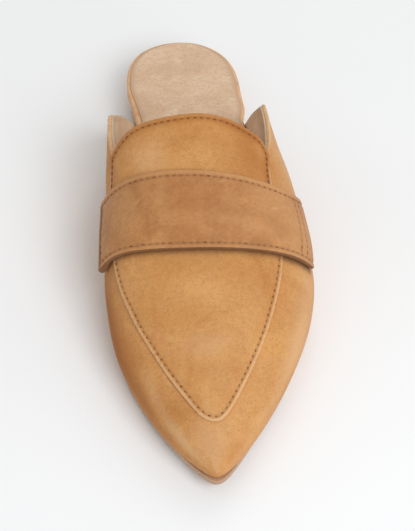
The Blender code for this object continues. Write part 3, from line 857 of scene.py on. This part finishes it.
def thread_finish():
    """Waxed thread: near black where it dips into its holes, painted shade of the holes; greyer where
    it is worn.
    """
    f = Finish("brown_waxed_thread", roughness=0.6, specular=0.3)
    from_middle = f.arithmetic("ABSOLUTE", f.arithmetic("SUBTRACT", f.mark("along"), 0.5), 0.0)
    centre = f.spread(from_middle, 0.28, 0.5, 1.0, 0.0)
    strands = f.noise(0.35, detail=1, where=f.stretched((1.0, 1.0, 1.0), (0, 0, 35)))
    colour = f.mix(f.mark("worn"), THREAD_BROWN, THREAD_WORN)
    colour = f.mix(f.spread(strands, 0.4, 0.7, 0.0, 0.22), colour, HOLE)
    # Painted shade of the hole at each end of a stitch, paler on worn thread.
    hole_shade = f.mix(f.mark("worn"), HOLE, HOLE_WORN)
    return f.done(f.mix(centre, hole_shade, colour))


def sole_board():
    """Stained sole leather: fibrous, with rubbed streaks along the shoe."""
    f = Finish("stained_sole_leather", roughness=0.55, specular=0.35)
    clouds = f.spread(f.noise(28, detail=4), 0.35, 0.65)
    fibre_way = f.stretched((5.0, 1.0, 5.0))
    fibres = f.spread(f.noise(3.0, detail=5, rough=0.7, where=fibre_way), 0.40, 0.70)
    colour = f.mix(clouds, SOLE_DEEP, SOLE_LIGHT)
    colour = f.mix(f.part(fibres, 0.35), colour, SOLE_FIBRE)
    f.bump(f.noise(0.9, detail=3), 0.10)
    f.bump(fibres, 0.05)
    return f.done(colour, f.spread(fibres, 0, 1, 0.48, 0.68))


BAND_REPEAT = 2 * pi / 20  # distance between a wave texture's bands at scale 1


def heel_stack():
    """Stacked leather: thin level lifts with dark glue lines between them."""
    f = Finish("stacked_heel_leather", roughness=0.5, specular=0.4)
    bands = f.tree.nodes.new("ShaderNodeTexWave")
    bands.bands_direction = "Z"
    bands.inputs["Scale"].default_value = BAND_REPEAT / (HEEL_LIFT * MM)
    f.tree.links.new(f.where, bands.inputs["Vector"])
    glue = f.spread(bands.outputs["Fac"], 0.0, 0.12, 1.0, 0.0)
    clouds = f.spread(f.noise(12, detail=5), 0.35, 0.65)
    colour = f.mix(clouds, SOLE_DEEP, SOLE_LIGHT)
    colour = f.mix(f.part(glue, 0.6), colour, HOLE)
    f.bump(f.arithmetic("SUBTRACT", 1.0, glue), 0.08)
    f.bump(f.noise(0.8, detail=3), 0.06)
    return f.done(colour)


def floor_finish():
    """Plain pale floor."""
    f = Finish("pale_floor", roughness=0.9, specular=0.1)
    return f.done(f.mix(f.spread(f.noise(220, detail=2), 0.3, 0.7), FLOOR_SHADE, FLOOR_LIGHT))


# --- The pieces ----------------------------------------------------------------------------------


def smoothed_topline(count):
    """Around and station along the opening's edge, evenly spaced, with its corners rounded: the
    table's straight runs averaged over a short stretch, except at the two feet."""
    fine, half_window, corner = 1600, 60, 1.5
    girth = BALL_WIDTH * 1.45  # about the length over the last from foot to foot
    flat = np.column_stack([TOPLINE[:, 0] * girth / 2, TOPLINE[:, 1]])
    run = along_length(flat)
    line = read_along(flat, run, np.linspace(0, run[-1], fine))
    window = hump(np.arange(-half_window, half_window + 1), 0, corner / (run[-1] / fine))
    window = window / window.sum()
    before = 2 * line[0] - line[half_window:0:-1]
    after = 2 * line[-1] - line[-2 : -half_window - 2 : -1]
    padded = np.concatenate([before, line, after])
    line = np.column_stack([np.convolve(padded[:, i], window, "valid") for i in (0, 1)])
    run = along_length(line)
    around, station = read_along(line, run, np.linspace(0, run[-1], count)).T
    return around * 2 / girth, station


def upper_grid(count, rows, opening_inset=0.0):
    """Station and around over the whole upper, rows from the topline to the nose. The columns
    start evenly along the topline and even out in `around` on the way forward."""
    around, opening = smoothed_topline(count)
    around[0], around[-1] = -1.0, 1.0
    even = np.linspace(-1, 1, count)
    close = np.linspace(0, 0.035, 10)[:-1]  # rows that lie close together at the topline
    share = np.concatenate([close, np.linspace(0.035, 1, rows - len(close))])[:, None]
    station = stations_between(opening + opening_inset, UPPER_LENGTH, UPPER_LENGTH, share)
    return station, around + (even - around) * share**0.7


def topline_roll(face, around, near_rows):
    """How far each point of a face lies from the opening's edge, with only the first rows counted,
    how much it belongs to a wing's edge, and how much of the edge's roll it has."""
    from_edge = np.full(face.shape[:2], FAR)
    from_edge[:near_rows] = distance_to(face[:near_rows], face[0])
    wings = ease(np.abs(around), 0.40, 0.50) * (1 - ease(np.abs(around), 0.86, 0.97))
    return from_edge, wings, (1 - ease(from_edge, 0.4, 3.4)) * wings


def held_inside(face, around, back):
    """An inner face with each side kept on its own side of the middle, and `back` from the nose."""
    across = np.where(around < 0, np.minimum(face[..., 0], 0), np.maximum(face[..., 0], 0))
    station = np.minimum(face[..., 1], UPPER_LENGTH - back)
    return np.stack([across, station, face[..., 2]], axis=-1)


PAINTED_SHADE_FADE = (-42.0, -33.0)  # across: no painted shade medial of the first, all of it from the second on


def painted_shade_by_strap(points):
    """Painted shade on the leather just outside the strap, darkest at its bottom edge."""
    around = np.linspace(STRAP[0, 0], STRAP[-1, 0], 240)
    top, bottom = (smooth_through(STRAP[:, 0], STRAP[:, i], around) for i in (1, 2))
    at_top = hump(distance_to(points, last_surface(top - 0.4, around)), 0, 1.2)
    at_bottom = hump(distance_to(points, last_surface(bottom + 0.2, around)), 0, 1.9)
    fading = 0.75 * ease(points[..., 0], *PAINTED_SHADE_FADE)
    return np.clip(fading * at_bottom + 0.3 * at_top, 0, 0.9)


def make_vamp(leather):
    """Vamp and quarters as one skin. Its topline is turned over into a soft roll, which the mark
    `rim` shows a little paler."""
    rows, count = 195, 201
    station, around = upper_grid(count, rows)
    outer = raised(station, around, 0.0)
    from_edge, wings, roll = topline_roll(outer, around, 14)
    outer = raised(station, around, 0.25 * roll)
    inner = held_inside(raised(station, around, -SKIN - ROLL_DEPTH * roll), around, SKIN)
    ends = dict(first=(6, 1.0), last=(1, 0.0), sides=(2, 0.1))
    rim = 0.6 * (1 - ease(from_edge, 0.2, 1.9)) * wings
    # Painted shade in the crevice at the wall's foot along the sides, fading out towards the toe.
    painted_shade_at_foot = 0.25 * ease(np.abs(around), 0.95, 1.0) * ease(station, 235, 200)
    marks = {
        "rim": spread(rim, rows, count, edge=0.75, **ends),
        "groove": spread(0.0, rows, count, **ends),
        "scuff_and_glint": spread(patches_at(station, around, SCUFFS_AND_GLINT), rows, count, **ends),
        "tone": spread(patches_at(station, around, TONES), rows, count, **ends),
        # Painted shade beside the strap's edges and at the wall's foot.
        "painted_shade": spread(np.maximum(painted_shade_by_strap(outer), painted_shade_at_foot), rows, count, **ends),
    }
    vamp = grid_piece("vamp", shell(outer, inner, **ends), leather, marks, weld=FINE_WELD)
    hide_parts("upper")


def make_lining(leather):
    """Lining inside the vamp, cut flush with its roll, with a cream cut edge."""
    rows, count = 90, 181
    station, around = upper_grid(count, rows, opening_inset=-0.35)
    depth = SKIN + LINING_GAP
    from_edge, _, roll = topline_roll(raised(station, around, -depth), around, 16)
    depth = depth + ROLL_DEPTH * roll
    outer = held_inside(raised(station, around, -depth), around, SKIN + LINING_GAP)
    inner = held_inside(raised(station, around, -depth - LINING), around, SKIN + LINING)
    ends = dict(first=(3, 0.5), last=(1, 0.0), sides=(2, 0.1))
    cut_edge = np.clip(1 - from_edge / 0.9, 0, 1)
    rim = spread(0.0, rows, count, under=cut_edge[:, ::-1], edge=1.0, **ends)
    grid = shell(outer, inner, **ends)
    lining = grid_piece("lining", grid, leather, {"rim": rim}, weld=FINE_WELD)


def apron_grid(rows, count):
    """Station and around over the apron: columns run from the tongue's edge to the point."""
    widest = 0.86 * pi / 2
    across = np.sin(np.linspace(-1, 1, count) * widest) / np.sin(widest)
    tongue = smooth_through(TONGUE[:, 0], TONGUE[:, 1], across)
    close = np.linspace(0, 0.035, 14)[:-1]  # rows that lie close together at the tongue's edge
    ahead = np.sin(np.linspace(0, 1, rows - len(close)) * pi / 2)
    share = np.concatenate([close, 0.035 + 0.965 * ahead])
    station = tongue + (APRON_POINT - tongue) * share[:, None]
    back = np.sqrt(np.clip(APRON_POINT - station, 0, None))
    knots = np.sqrt(APRON[:, 0])
    medial = smooth_through(knots, APRON[:, 1], back)
    lateral = smooth_through(knots, APRON[:, 2], back)
    sideways = (medial + lateral) / 2 + across * (lateral - medial) / 2
    return station, around_of(station, sideways)


def apron_border():
    """Station and around along the apron's three edges: over the tongue from its medial corner,
    down the lateral side to the point, and from the point back up the medial side."""
    station, around = apron_grid(260, 261)
    top = np.stack([station[0], around[0]], axis=-1)
    lateral = np.stack([station[1:, -1], around[1:, -1]], axis=-1)
    medial = np.stack([station[1:-1, 0], around[1:-1, 0]], axis=-1)[::-1]
    return top, lateral, medial


def inset_path(station, around, inset, lift):
    """A line on the last moved sideways over it by `inset` and laid at `lift` above it, evenly
    spaced, with its surface normals. Inwards is normal x tangent."""
    line = raised(station, around, 0.0)
    normal = last_normal(station, around)
    tangent = unit(np.gradient(line, axis=0))
    moved = line + unit(np.cross(normal, tangent)) * inset
    run = along_length(moved)
    across, station, _ = read_along(moved, run, np.arange(0, run[-1], 0.6)).T
    around = around_of(station, across)
    return raised(station, around, lift), last_normal(station, around)


def make_apron(leather, thread):
    """Plug and tongue in one: a cut pale edge down both sides and round the point, a turned edge
    on the tongue, and a shallow groove under the stitches."""
    rows, count = 170, 221
    station, around = apron_grid(rows, count)
    base = raised(station, around, 0.0)
    top, lateral, medial = apron_border()
    outline = np.concatenate([top, lateral, medial])
    line = raised(outline[:, 0], outline[:, 1], 0.0)
    tongue_line = raised(top[:, 0], top[:, 1], 0.0)
    from_edge = distance_to(base, line)
    from_tongue = distance_to(base, tongue_line)
    fold = 1 - ease(from_tongue, 0.5, 3.0)
    groove = hump(from_edge, PLUG_INSET, GROOVE_WIDTH)
    puff = 0.08 * hump(from_edge, 0.9, 0.9) + 0.14 * ease(from_edge, 2.6, 6.5)
    puff = puff - 0.25 * hump(from_edge, 0, 0.7)
    under_strap = ease(station, 138, 143) * (1 - ease(station, 168, 173))
    thickness = APRON_THICKNESS + puff - 0.24 * groove + 0.35 * fold
    # Darker within a few millimetres of the tongue's edges: partly handling dirt, partly painted shade
    # of the fold.
    handled_and_fold_shade = 0.6 * hump(from_edge, 1.2, 2.6) * (1 - ease(station, 145, 165))
    outer = raised(station, around, thickness + APRON_LIFT - 0.1 * under_strap)
    inner = raised(station, around, APRON_LIFT)
    ends = dict(first=(6, 1.0), last=(1, 0.2), sides=(2, 0.12))
    cut = 0.52 * (1 - ease(from_edge, 0.5, 1.6))
    turned = 0.12 * (1 - ease(from_edge, 0.8, 1.6))
    rim = cut + (turned - cut) * (1 - ease(from_tongue, 4.0, 9.0))
    marks = {
        "rim": spread(rim, rows, count, edge=0.6, **ends),
        "groove": spread(0.30 * groove, rows, count, **ends),
        "scuff_and_glint": spread(patches_at(station, around, SCUFFS_AND_GLINT), rows, count, **ends),
        "tone": spread(handled_and_fold_shade + patches_at(station, around, TONES), rows, count, **ends),
        # Painted shade beside the strap's edges.
        "painted_shade": spread(painted_shade_by_strap(base), rows, count, **ends),
    }
    tongue_edge = slice(0, ends["first"][0])
    marks["rim"][tongue_edge] = 0.12
    marks["tone"][tongue_edge] = 0.6
    apron = grid_piece("apron_and_tongue", shell(outer, inner, **ends), leather, marks)
    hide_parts("apron")

    def seam(edge, worn, length, thread_width):
        """A row of stitches beside a stretch of the apron's edge."""
        path, normal = inset_path(edge[:, 0], edge[:, 1], PLUG_INSET, APRON_THICKNESS - 0.08)
        return row_of_stitches(path, normal, worn, length, thread_width)

    # Both seams stop under the strap.
    tongue = np.concatenate([medial[medial[:, 0] < 145], top, lateral[lateral[:, 0] < 145]])
    plug = np.concatenate([lateral[lateral[:, 0] > 168], medial[medial[:, 0] > 168]])
    rows_of_thread = [seam(tongue, 0.05, 2.0, 0.72), seam(plug, 0.4, 1.45, THREAD)]
    stitched("apron_stitches", rows_of_thread, thread)


def make_strap(leather, thread):
    """Saddle strap: rows from its top to its bottom edge, both turned over into a roll, with a
    groove and stitches beside every edge, and two rows at the lateral end. The medial end is
    folded under and so is thicker."""
    rows, count = 84, 261
    around = np.interp(dense_ends(count, 7.0, 0.11, 128.0), (0, 1), (STRAP[0, 0], STRAP[-1, 0]))
    top, bottom, lift = (smooth_through(STRAP[:, 0], STRAP[:, i], around) for i in (1, 2, 3))
    round_off = END_ROUNDING * (
        hump(around, STRAP[0, 0], 0.016) + 1.3 * hump(around, STRAP[-1, 0], 0.018)
    )
    bottom = bottom - round_off
    top = top + 0.6 * round_off
    share = dense_ends(rows, 4.0, 0.17, 35.0)[:, None]
    station = top + (bottom - top) * share
    base = raised(station, around[None, :], 2.0)
    from_top, from_bottom = distance_to(base, base[0]), distance_to(base, base[-1])
    from_medial, from_lateral = distance_to(base, base[:, 0]), distance_to(base, base[:, -1])
    from_long = np.minimum(from_top, from_bottom)
    from_ends = np.minimum(from_medial, from_lateral)
    from_rim = np.minimum(from_long, from_ends)
    end_rows = np.maximum(*[hump(from_lateral, inset, GROOVE_WIDTH) for inset in LATERAL_ROWS])
    beside_edges = hump(np.minimum(from_long, from_medial), STITCH_INSET, GROOVE_WIDTH)
    groove = np.maximum(beside_edges, end_rows * ease(from_long, 1.0, STITCH_INSET))
    puff = 0.12 * hump(from_rim, 0.9, 1.1) + 0.30 * ease(from_rim, 2.5, 8.0)
    folded = 1.3 * (1 - ease(from_medial, 3.0, 8.0))
    outer = raised(station, around, lift + STRAP_THICKNESS + puff - 0.32 * groove)
    inner = raised(station, around, lift - folded)
    ends = dict(first=(7, 0.9), last=(7, 0.7), sides=(4, 0.3))
    # Painted highlight along the rolled top and bottom edges; the ends are made paler too.
    painted_roll_highlight = 0.5 * (1 - ease(from_top, 0.9, 1.7)) + 0.22 * (1 - ease(from_bottom, 0.9, 1.9))
    rim = np.clip(np.maximum(painted_roll_highlight, 0.25 * (1 - ease(from_ends, 0.4, 1.2))), 0, 1)
    # Painted shade: a dark band along the medial end, a dark line standing for a slit at the lateral
    # end, and shade on the strap's underside.
    painted_shade_at_end = 0.42 * (1 - ease(from_medial, 2.0, 4.0))
    painted_slit_shade = hump(station, bottom - 5.2, 1.6) * hump(from_lateral, LATERAL_ROWS[1] + 0.2, 0.45)
    marks = {
        "rim": spread(rim, rows, count, edge=0.5, **ends),
        "groove": spread(0.22 * groove, rows, count, **ends),
        "scuff_and_glint": spread(patches_at(station, around, STRAP_SCUFFS), rows, count, **ends),
        "tone": spread(patches_at(station, around, STRAP_TONES), rows, count, **ends),
        "painted_shade": spread(0.6 * painted_slit_shade + painted_shade_at_end, rows, count, under=0.5, **ends),
    }
    bottom_edge = slice(-ends["last"][0], None)
    # Painted shade on the face of the bottom edge.
    marks["painted_shade"][bottom_edge] = 0.72
    marks["rim"][bottom_edge] = 0.0
    strap = grid_piece("strap", shell(outer, inner, **ends), leather, marks)
    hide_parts("saddle_strap")

    def seat_stitches(station_line, around_line, worn):
        """A row laid on the strap's face along a line of stations and arounds."""
        stand = np.interp(around_line, around, lift) + STRAP_THICKNESS - 0.12
        path = raised(station_line, around_line, stand)
        run = along_length(path)
        at = np.arange(0, run[-1], 0.5)
        path = read_along(path, run, at)
        around_at = np.interp(at, run, around_line)
        return row_of_stitches(path, last_normal(path[:, 1], around_at), worn, thread=0.48)

    def long_row(edge, keep):
        """Station and around of a row beside one of the long edges."""
        path, _ = inset_path(edge[keep], around[keep], STITCH_INSET, 0.0)
        return path[:, 1], around_of(path[:, 1], path[:, 0])

    def end_row(inset):
        """Station and around of a row beside an end, `inset` from it (minus: the medial end)."""
        run = along_length(base[rows // 2])
        place_around = np.interp(inset % run[-1], run, around)
        ends_at = [np.interp(place_around, around, edge) for edge in (top, bottom)]
        clear = STITCH_INSET + 0.8
        line = np.linspace(ends_at[0] + clear, ends_at[1] - clear, 60)
        return line, np.full(len(line), place_around)

    keep, back = slice(6, -6), slice(-6, 6, -1)
    stitched("strap_stitches", [
        seat_stitches(*long_row(top, keep), 0.75),
        seat_stitches(*long_row(bottom, back), 0.8),
        seat_stitches(*end_row(-LATERAL_ROWS[0]), 0.6),
        seat_stitches(*end_row(-LATERAL_ROWS[1]), 0.6),
        seat_stitches(*end_row(STITCH_INSET), 1.0),
    ], thread)


def outline_of(heel_inset, fronts, rows, stretch=1.0, carries=False):
    """Both sides of the footprint moved inwards along their own normals, as (rows, 2) arrays of
    across and station, and their outward normals in plan. `fronts` holds the medial and lateral
    insets in front of the wings' feet, `stretch` lengthens the plan, and `carries` is for the
    outsole, which comes out under the wings."""
    found = {}
    for side, sign, front_inset in zip(("medial", "lateral"), (-1.0, 1.0), fronts):
        foot = SOLE_FOOT if carries else WING_FOOT[side]
        station = stations_between(0.0, UPPER_LENGTH, UPPER_LENGTH, np.linspace(0, 1, 900))
        width = foot_edge(side, station)
        toe_inset = front_inset + TOE_CLEARANCE * (front_inset > 0)
        insets = (heel_inset, front_inset, front_inset, toe_inset)
        inset = np.interp(station, (*foot, *TOE_TAPER), insets)
        forward, out = np.gradient(station), np.gradient(width)
        size = np.hypot(forward, out)
        moved_station = station + inset * out / size
        moved_width = width - inset * forward / size
        kept = (moved_width >= 0) & (moved_station >= np.maximum.accumulate(moved_station))
        found[side] = moved_station[kept], moved_width[kept], sign
    start = max(found[side][0][0] for side in found)
    end = min(found[side][0][-1] for side in found)
    share = stations_between(0.0, 1.0, 1.0, np.linspace(0, 1, rows))
    station = start + (end - start) * share
    sides = []
    for moved_station, moved_width, sign in found.values():
        width = np.interp(station, moved_station, moved_width)
        width[[0, -1]] = 0
        line = np.column_stack([sign * width, station * stretch])
        tangent = unit(np.gradient(line, axis=0))
        normal = np.column_stack([sign * tangent[:, 1], -sign * tangent[:, 0]])
        normal[0], normal[-1] = (0, -1), (0, 1)
        sides.append((line, normal))
    return sides


CAP_POINTS = 19  # across a layer's top or bottom, inside its rims


def layer_grid(outline, profile, top):
    """A layer as loops across the shoe. Each loop runs over the top, down the lateral edge's
    profile, back under the bottom and up the medial edge's. `profile` has rows of (inset, depth
    below the top) from the top's rim to the bottom's; `top(station, share)` gives heights."""
    inset, depth = profile[:, 0], profile[:, 1]
    medial, lateral = (line[:, None] - out[:, None] * inset[:, None] for line, out in outline)
    share = np.linspace(-1, 1, CAP_POINTS + 2)[1:-1]
    weight = (share[None, :, None] + 1) / 2

    def level(plan, across_share, below):
        """Points of a plan at heights `below` the layer's top."""
        height = top(plan[..., 1], across_share) - below
        return np.concatenate([plan, height[..., None]], axis=-1)

    over = medial[:, :1] * (1 - weight) + lateral[:, :1] * weight
    under = medial[:, -1:] * (1 - weight) + lateral[:, -1:] * weight
    return np.concatenate([
        level(over, share[None, :], 0.0),
        level(lateral, np.ones((1, 1)), depth),
        level(under, np.ones((1, 1)), depth[-1])[:, ::-1],
        level(medial, -np.ones((1, 1)), depth)[:, ::-1],
    ], axis=1)


def rounded_profile(thickness, top_radius, bottom_radius, steps=5):
    """Edge of a layer from top to bottom: quarter circles of two radii joined by a straight."""
    turn = np.linspace(0, pi / 2, steps)
    upper = np.column_stack([top_radius * (1 - np.sin(turn)), top_radius * (1 - np.cos(turn))])
    lower = np.column_stack([
        bottom_radius * (1 - np.cos(turn)), thickness - bottom_radius * (1 - np.sin(turn))
    ])
    return np.concatenate([upper, lower])


def outsole_top(station, share):
    """Outsole: one thickness all over."""
    return outsole_bottom(station) + OUTSOLE_THICKNESS


def board_top(station, share):
    """Insole board: it stands on the outsole."""
    return feather_height(station) + BOARD_THICKNESS


def wrap_top(station, share):
    """The wrapping stands up round the sock, at the sides and behind the heel."""
    beside = ease(np.abs(share), 0.88, 1.0)
    behind = 1 - ease(station, 1.0, 3.6)
    return board_top(station, share) + RIM_RISE * np.maximum(beside, behind)


def sock_top(station, share):
    """Padding: a shallow cup at the heel, a swell at the arch, thin towards the rim."""
    middle = 1 - share**2
    cup = -0.9 * hump(station, 32, 22) * middle
    swell = 0.7 * hump(station, 78, 22) * middle
    padding = (SOCK_THICKNESS - SOCK_RIM) * (1 - share**4) + 0.25 * middle
    return board_top(station, share) + SOCK_GAP + SOCK_RIM + padding + cup + swell


def make_layer(name, node, finish, outline, thickness, radii, top):
    """One flat layer of the bottom, whose edge profile carries the mark `rim`."""
    profile = rounded_profile(thickness, *radii)
    grid = layer_grid(outline, profile, top)
    rim = np.zeros(grid.shape[:2])
    rim[:, CAP_POINTS : CAP_POINTS + len(profile)] = 1.0
    rim[:, -len(profile) :] = 1.0
    piece = grid_piece(name, grid, finish, {"rim": rim})
    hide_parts(node)


def make_sole_layers(sole, wrap, sock):
    """Outsole, wrapped insole and padded sock, from the bottom up."""
    rows = 170
    inside = SKIN + LINING + BOARD_CLEARANCE
    stretch = SOLE_LENGTH / UPPER_LENGTH
    under = outline_of(SEAT_INSET, (0.0, 0.0), rows, stretch, carries=True)
    board = outline_of(0.0, (inside, inside), rows)
    cover = outline_of(SOCK_MARGIN, (inside + WAIST_MARGIN, inside + SOCK_MARGIN), rows)
    make_layer(
        "outsole_fine", "outsole", sole, under, OUTSOLE_THICKNESS, (0.5, 0.7), outsole_top
    )
    make_layer(
        "insole_wrap", "insole_board", wrap, board, BOARD_THICKNESS, (1.1, 0.5), wrap_top
    )
    make_layer("sock_pad", "sock", sock, cover, SOCK_RIM, (0.45, 0.15), sock_top)


def make_heel(stack):
    """Heel block: rings of the heel seat's outline, drawn in a little towards the floor, with
    eased edges, a straight front face and flat top and bottom."""
    share = np.linspace(0, 1, 60)
    station = stations_between(0.0, HEEL_END, UPPER_LENGTH, share)
    width = np.concatenate([-foot_edge("medial", station)[::-1], foot_edge("lateral", station)[1:]])
    along = np.concatenate([station[::-1], station[1:]])
    front = np.linspace(1, 0, 40)[1:-1, None]
    sides = np.column_stack([width, along])
    face = sides[:1] * (1 - front) + sides[-1:] * front
    ring = np.concatenate([sides, face])
    centre = np.array([0.0, HEEL_END / 2])
    top = HEEL_HEIGHT - HEEL_GAP
    levels = np.array([
        (top, 0.0), (top, 0.6), (top, 0.92), (top - 0.4, 0.935), (top / 2, 0.925),
        (0.5, 0.915), (0.12, 0.905), (0.0, 0.89), (0.0, 0.6), (0.0, 0.0),
    ])
    scale = levels[:, 1][:, None, None]
    plan = centre + (ring - centre)[None] * np.concatenate([scale, scale], axis=-1)
    height = np.broadcast_to(levels[:, 0][:, None, None], (len(levels), len(ring), 1))
    grid = np.concatenate([plan, height], axis=-1)
    heel = grid_piece("heel_block", grid, stack)
    heel.data.set_sharp_from_angle(angle=radians(50))
    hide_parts("heel")


# --- Floor, light and camera ---------------------------------------------------------------------


def make_floor():
    """A large flat sheet just under the sole."""
    reach, level = 4.0, -0.00005
    mesh = bpy.data.meshes.new("floor")
    corners = [(x * reach, y * reach, level) for x, y in ((-1, -1), (1, -1), (1, 1), (-1, 1))]
    mesh.from_pydata(corners, [], [(0, 1, 2, 3)])
    mesh.materials.append(floor_finish())
    floor = bpy.data.objects.new("floor", mesh)
    bpy.context.scene.collection.objects.link(floor)


def soft_light(name, place_at, aim, size, power, colour=(1.0, 1.0, 1.0)):
    """A square area light that looks at a point."""
    light = bpy.data.lights.new(name, "AREA")
    light.shape = "SQUARE"
    light.size = size
    light.energy = power
    light.color = colour
    lamp = bpy.data.objects.new(name, light)
    lamp.location = place_at
    lamp.rotation_euler = (Vector(aim) - Vector(place_at)).to_track_quat("-Z", "Y").to_euler()
    bpy.context.scene.collection.objects.link(lamp)


def make_light():
    """A bright even surround, one large soft light in front on the lateral side and a weak one
    behind."""
    world = bpy.data.worlds.new("studio")
    world.use_nodes = True
    world.node_tree.nodes["Background"].inputs["Color"].default_value = (1.0, 0.99, 0.97, 1.0)
    world.node_tree.nodes["Background"].inputs["Strength"].default_value = 0.57
    bpy.context.scene.world = world
    aim = (0.0, 0.0, 0.02)
    soft_light("key", (0.55, -1.05, 1.15), aim, 1.0, 16.0, (0.955, 1.0, 1.05))
    soft_light("back", (0.4, 1.3, 1.2), aim, 1.0, 4.6)
    bpy.context.scene.view_settings.view_transform = "Standard"


CAMERA_LENS = 98.0  # millimetres
CAMERA_ROLL = 3.3  # degrees


def make_camera():
    """Looks down at the toe from in front, a little from the medial side."""
    eye = Vector((-0.04839, -0.45607, 0.51189))
    aim = Vector((0.0006, -0.0222, 0.018))
    camera = bpy.data.objects.new("camera", bpy.data.cameras.new("camera"))
    look = (aim - eye).to_track_quat("-Z", "Y").to_matrix()
    roll = Matrix.Rotation(radians(CAMERA_ROLL), 3, "Z")
    camera.rotation_euler = (look @ roll).to_euler()
    camera.location = eye
    camera.data.sensor_width = 36.0
    camera.data.lens = CAMERA_LENS
    camera.data.clip_start = 0.01
    bpy.context.scene.collection.objects.link(camera)
    bpy.context.scene.camera = camera


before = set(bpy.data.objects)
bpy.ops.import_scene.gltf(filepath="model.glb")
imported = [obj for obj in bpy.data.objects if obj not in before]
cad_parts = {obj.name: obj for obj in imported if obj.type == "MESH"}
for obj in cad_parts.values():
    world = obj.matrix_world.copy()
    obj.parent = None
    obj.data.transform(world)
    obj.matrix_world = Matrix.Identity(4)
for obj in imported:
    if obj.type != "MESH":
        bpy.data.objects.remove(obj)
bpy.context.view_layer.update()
BACK_OF_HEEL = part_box("insole_board")[1].y
ball_lateral = foot_edge("lateral", np.linspace(100, 220, 400)).max()
ORIGIN_ACROSS = ball_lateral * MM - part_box("outsole")[1].x

leather = nubuck()
thread = thread_finish()
make_vamp(leather)
make_lining(lining_leather())
make_apron(leather, thread)
make_strap(strap_leather(), thread)
make_sole_layers(sole_board(), wrap_leather(), sock_leather())
make_heel(heel_stack())
make_floor()
make_light()
make_camera()
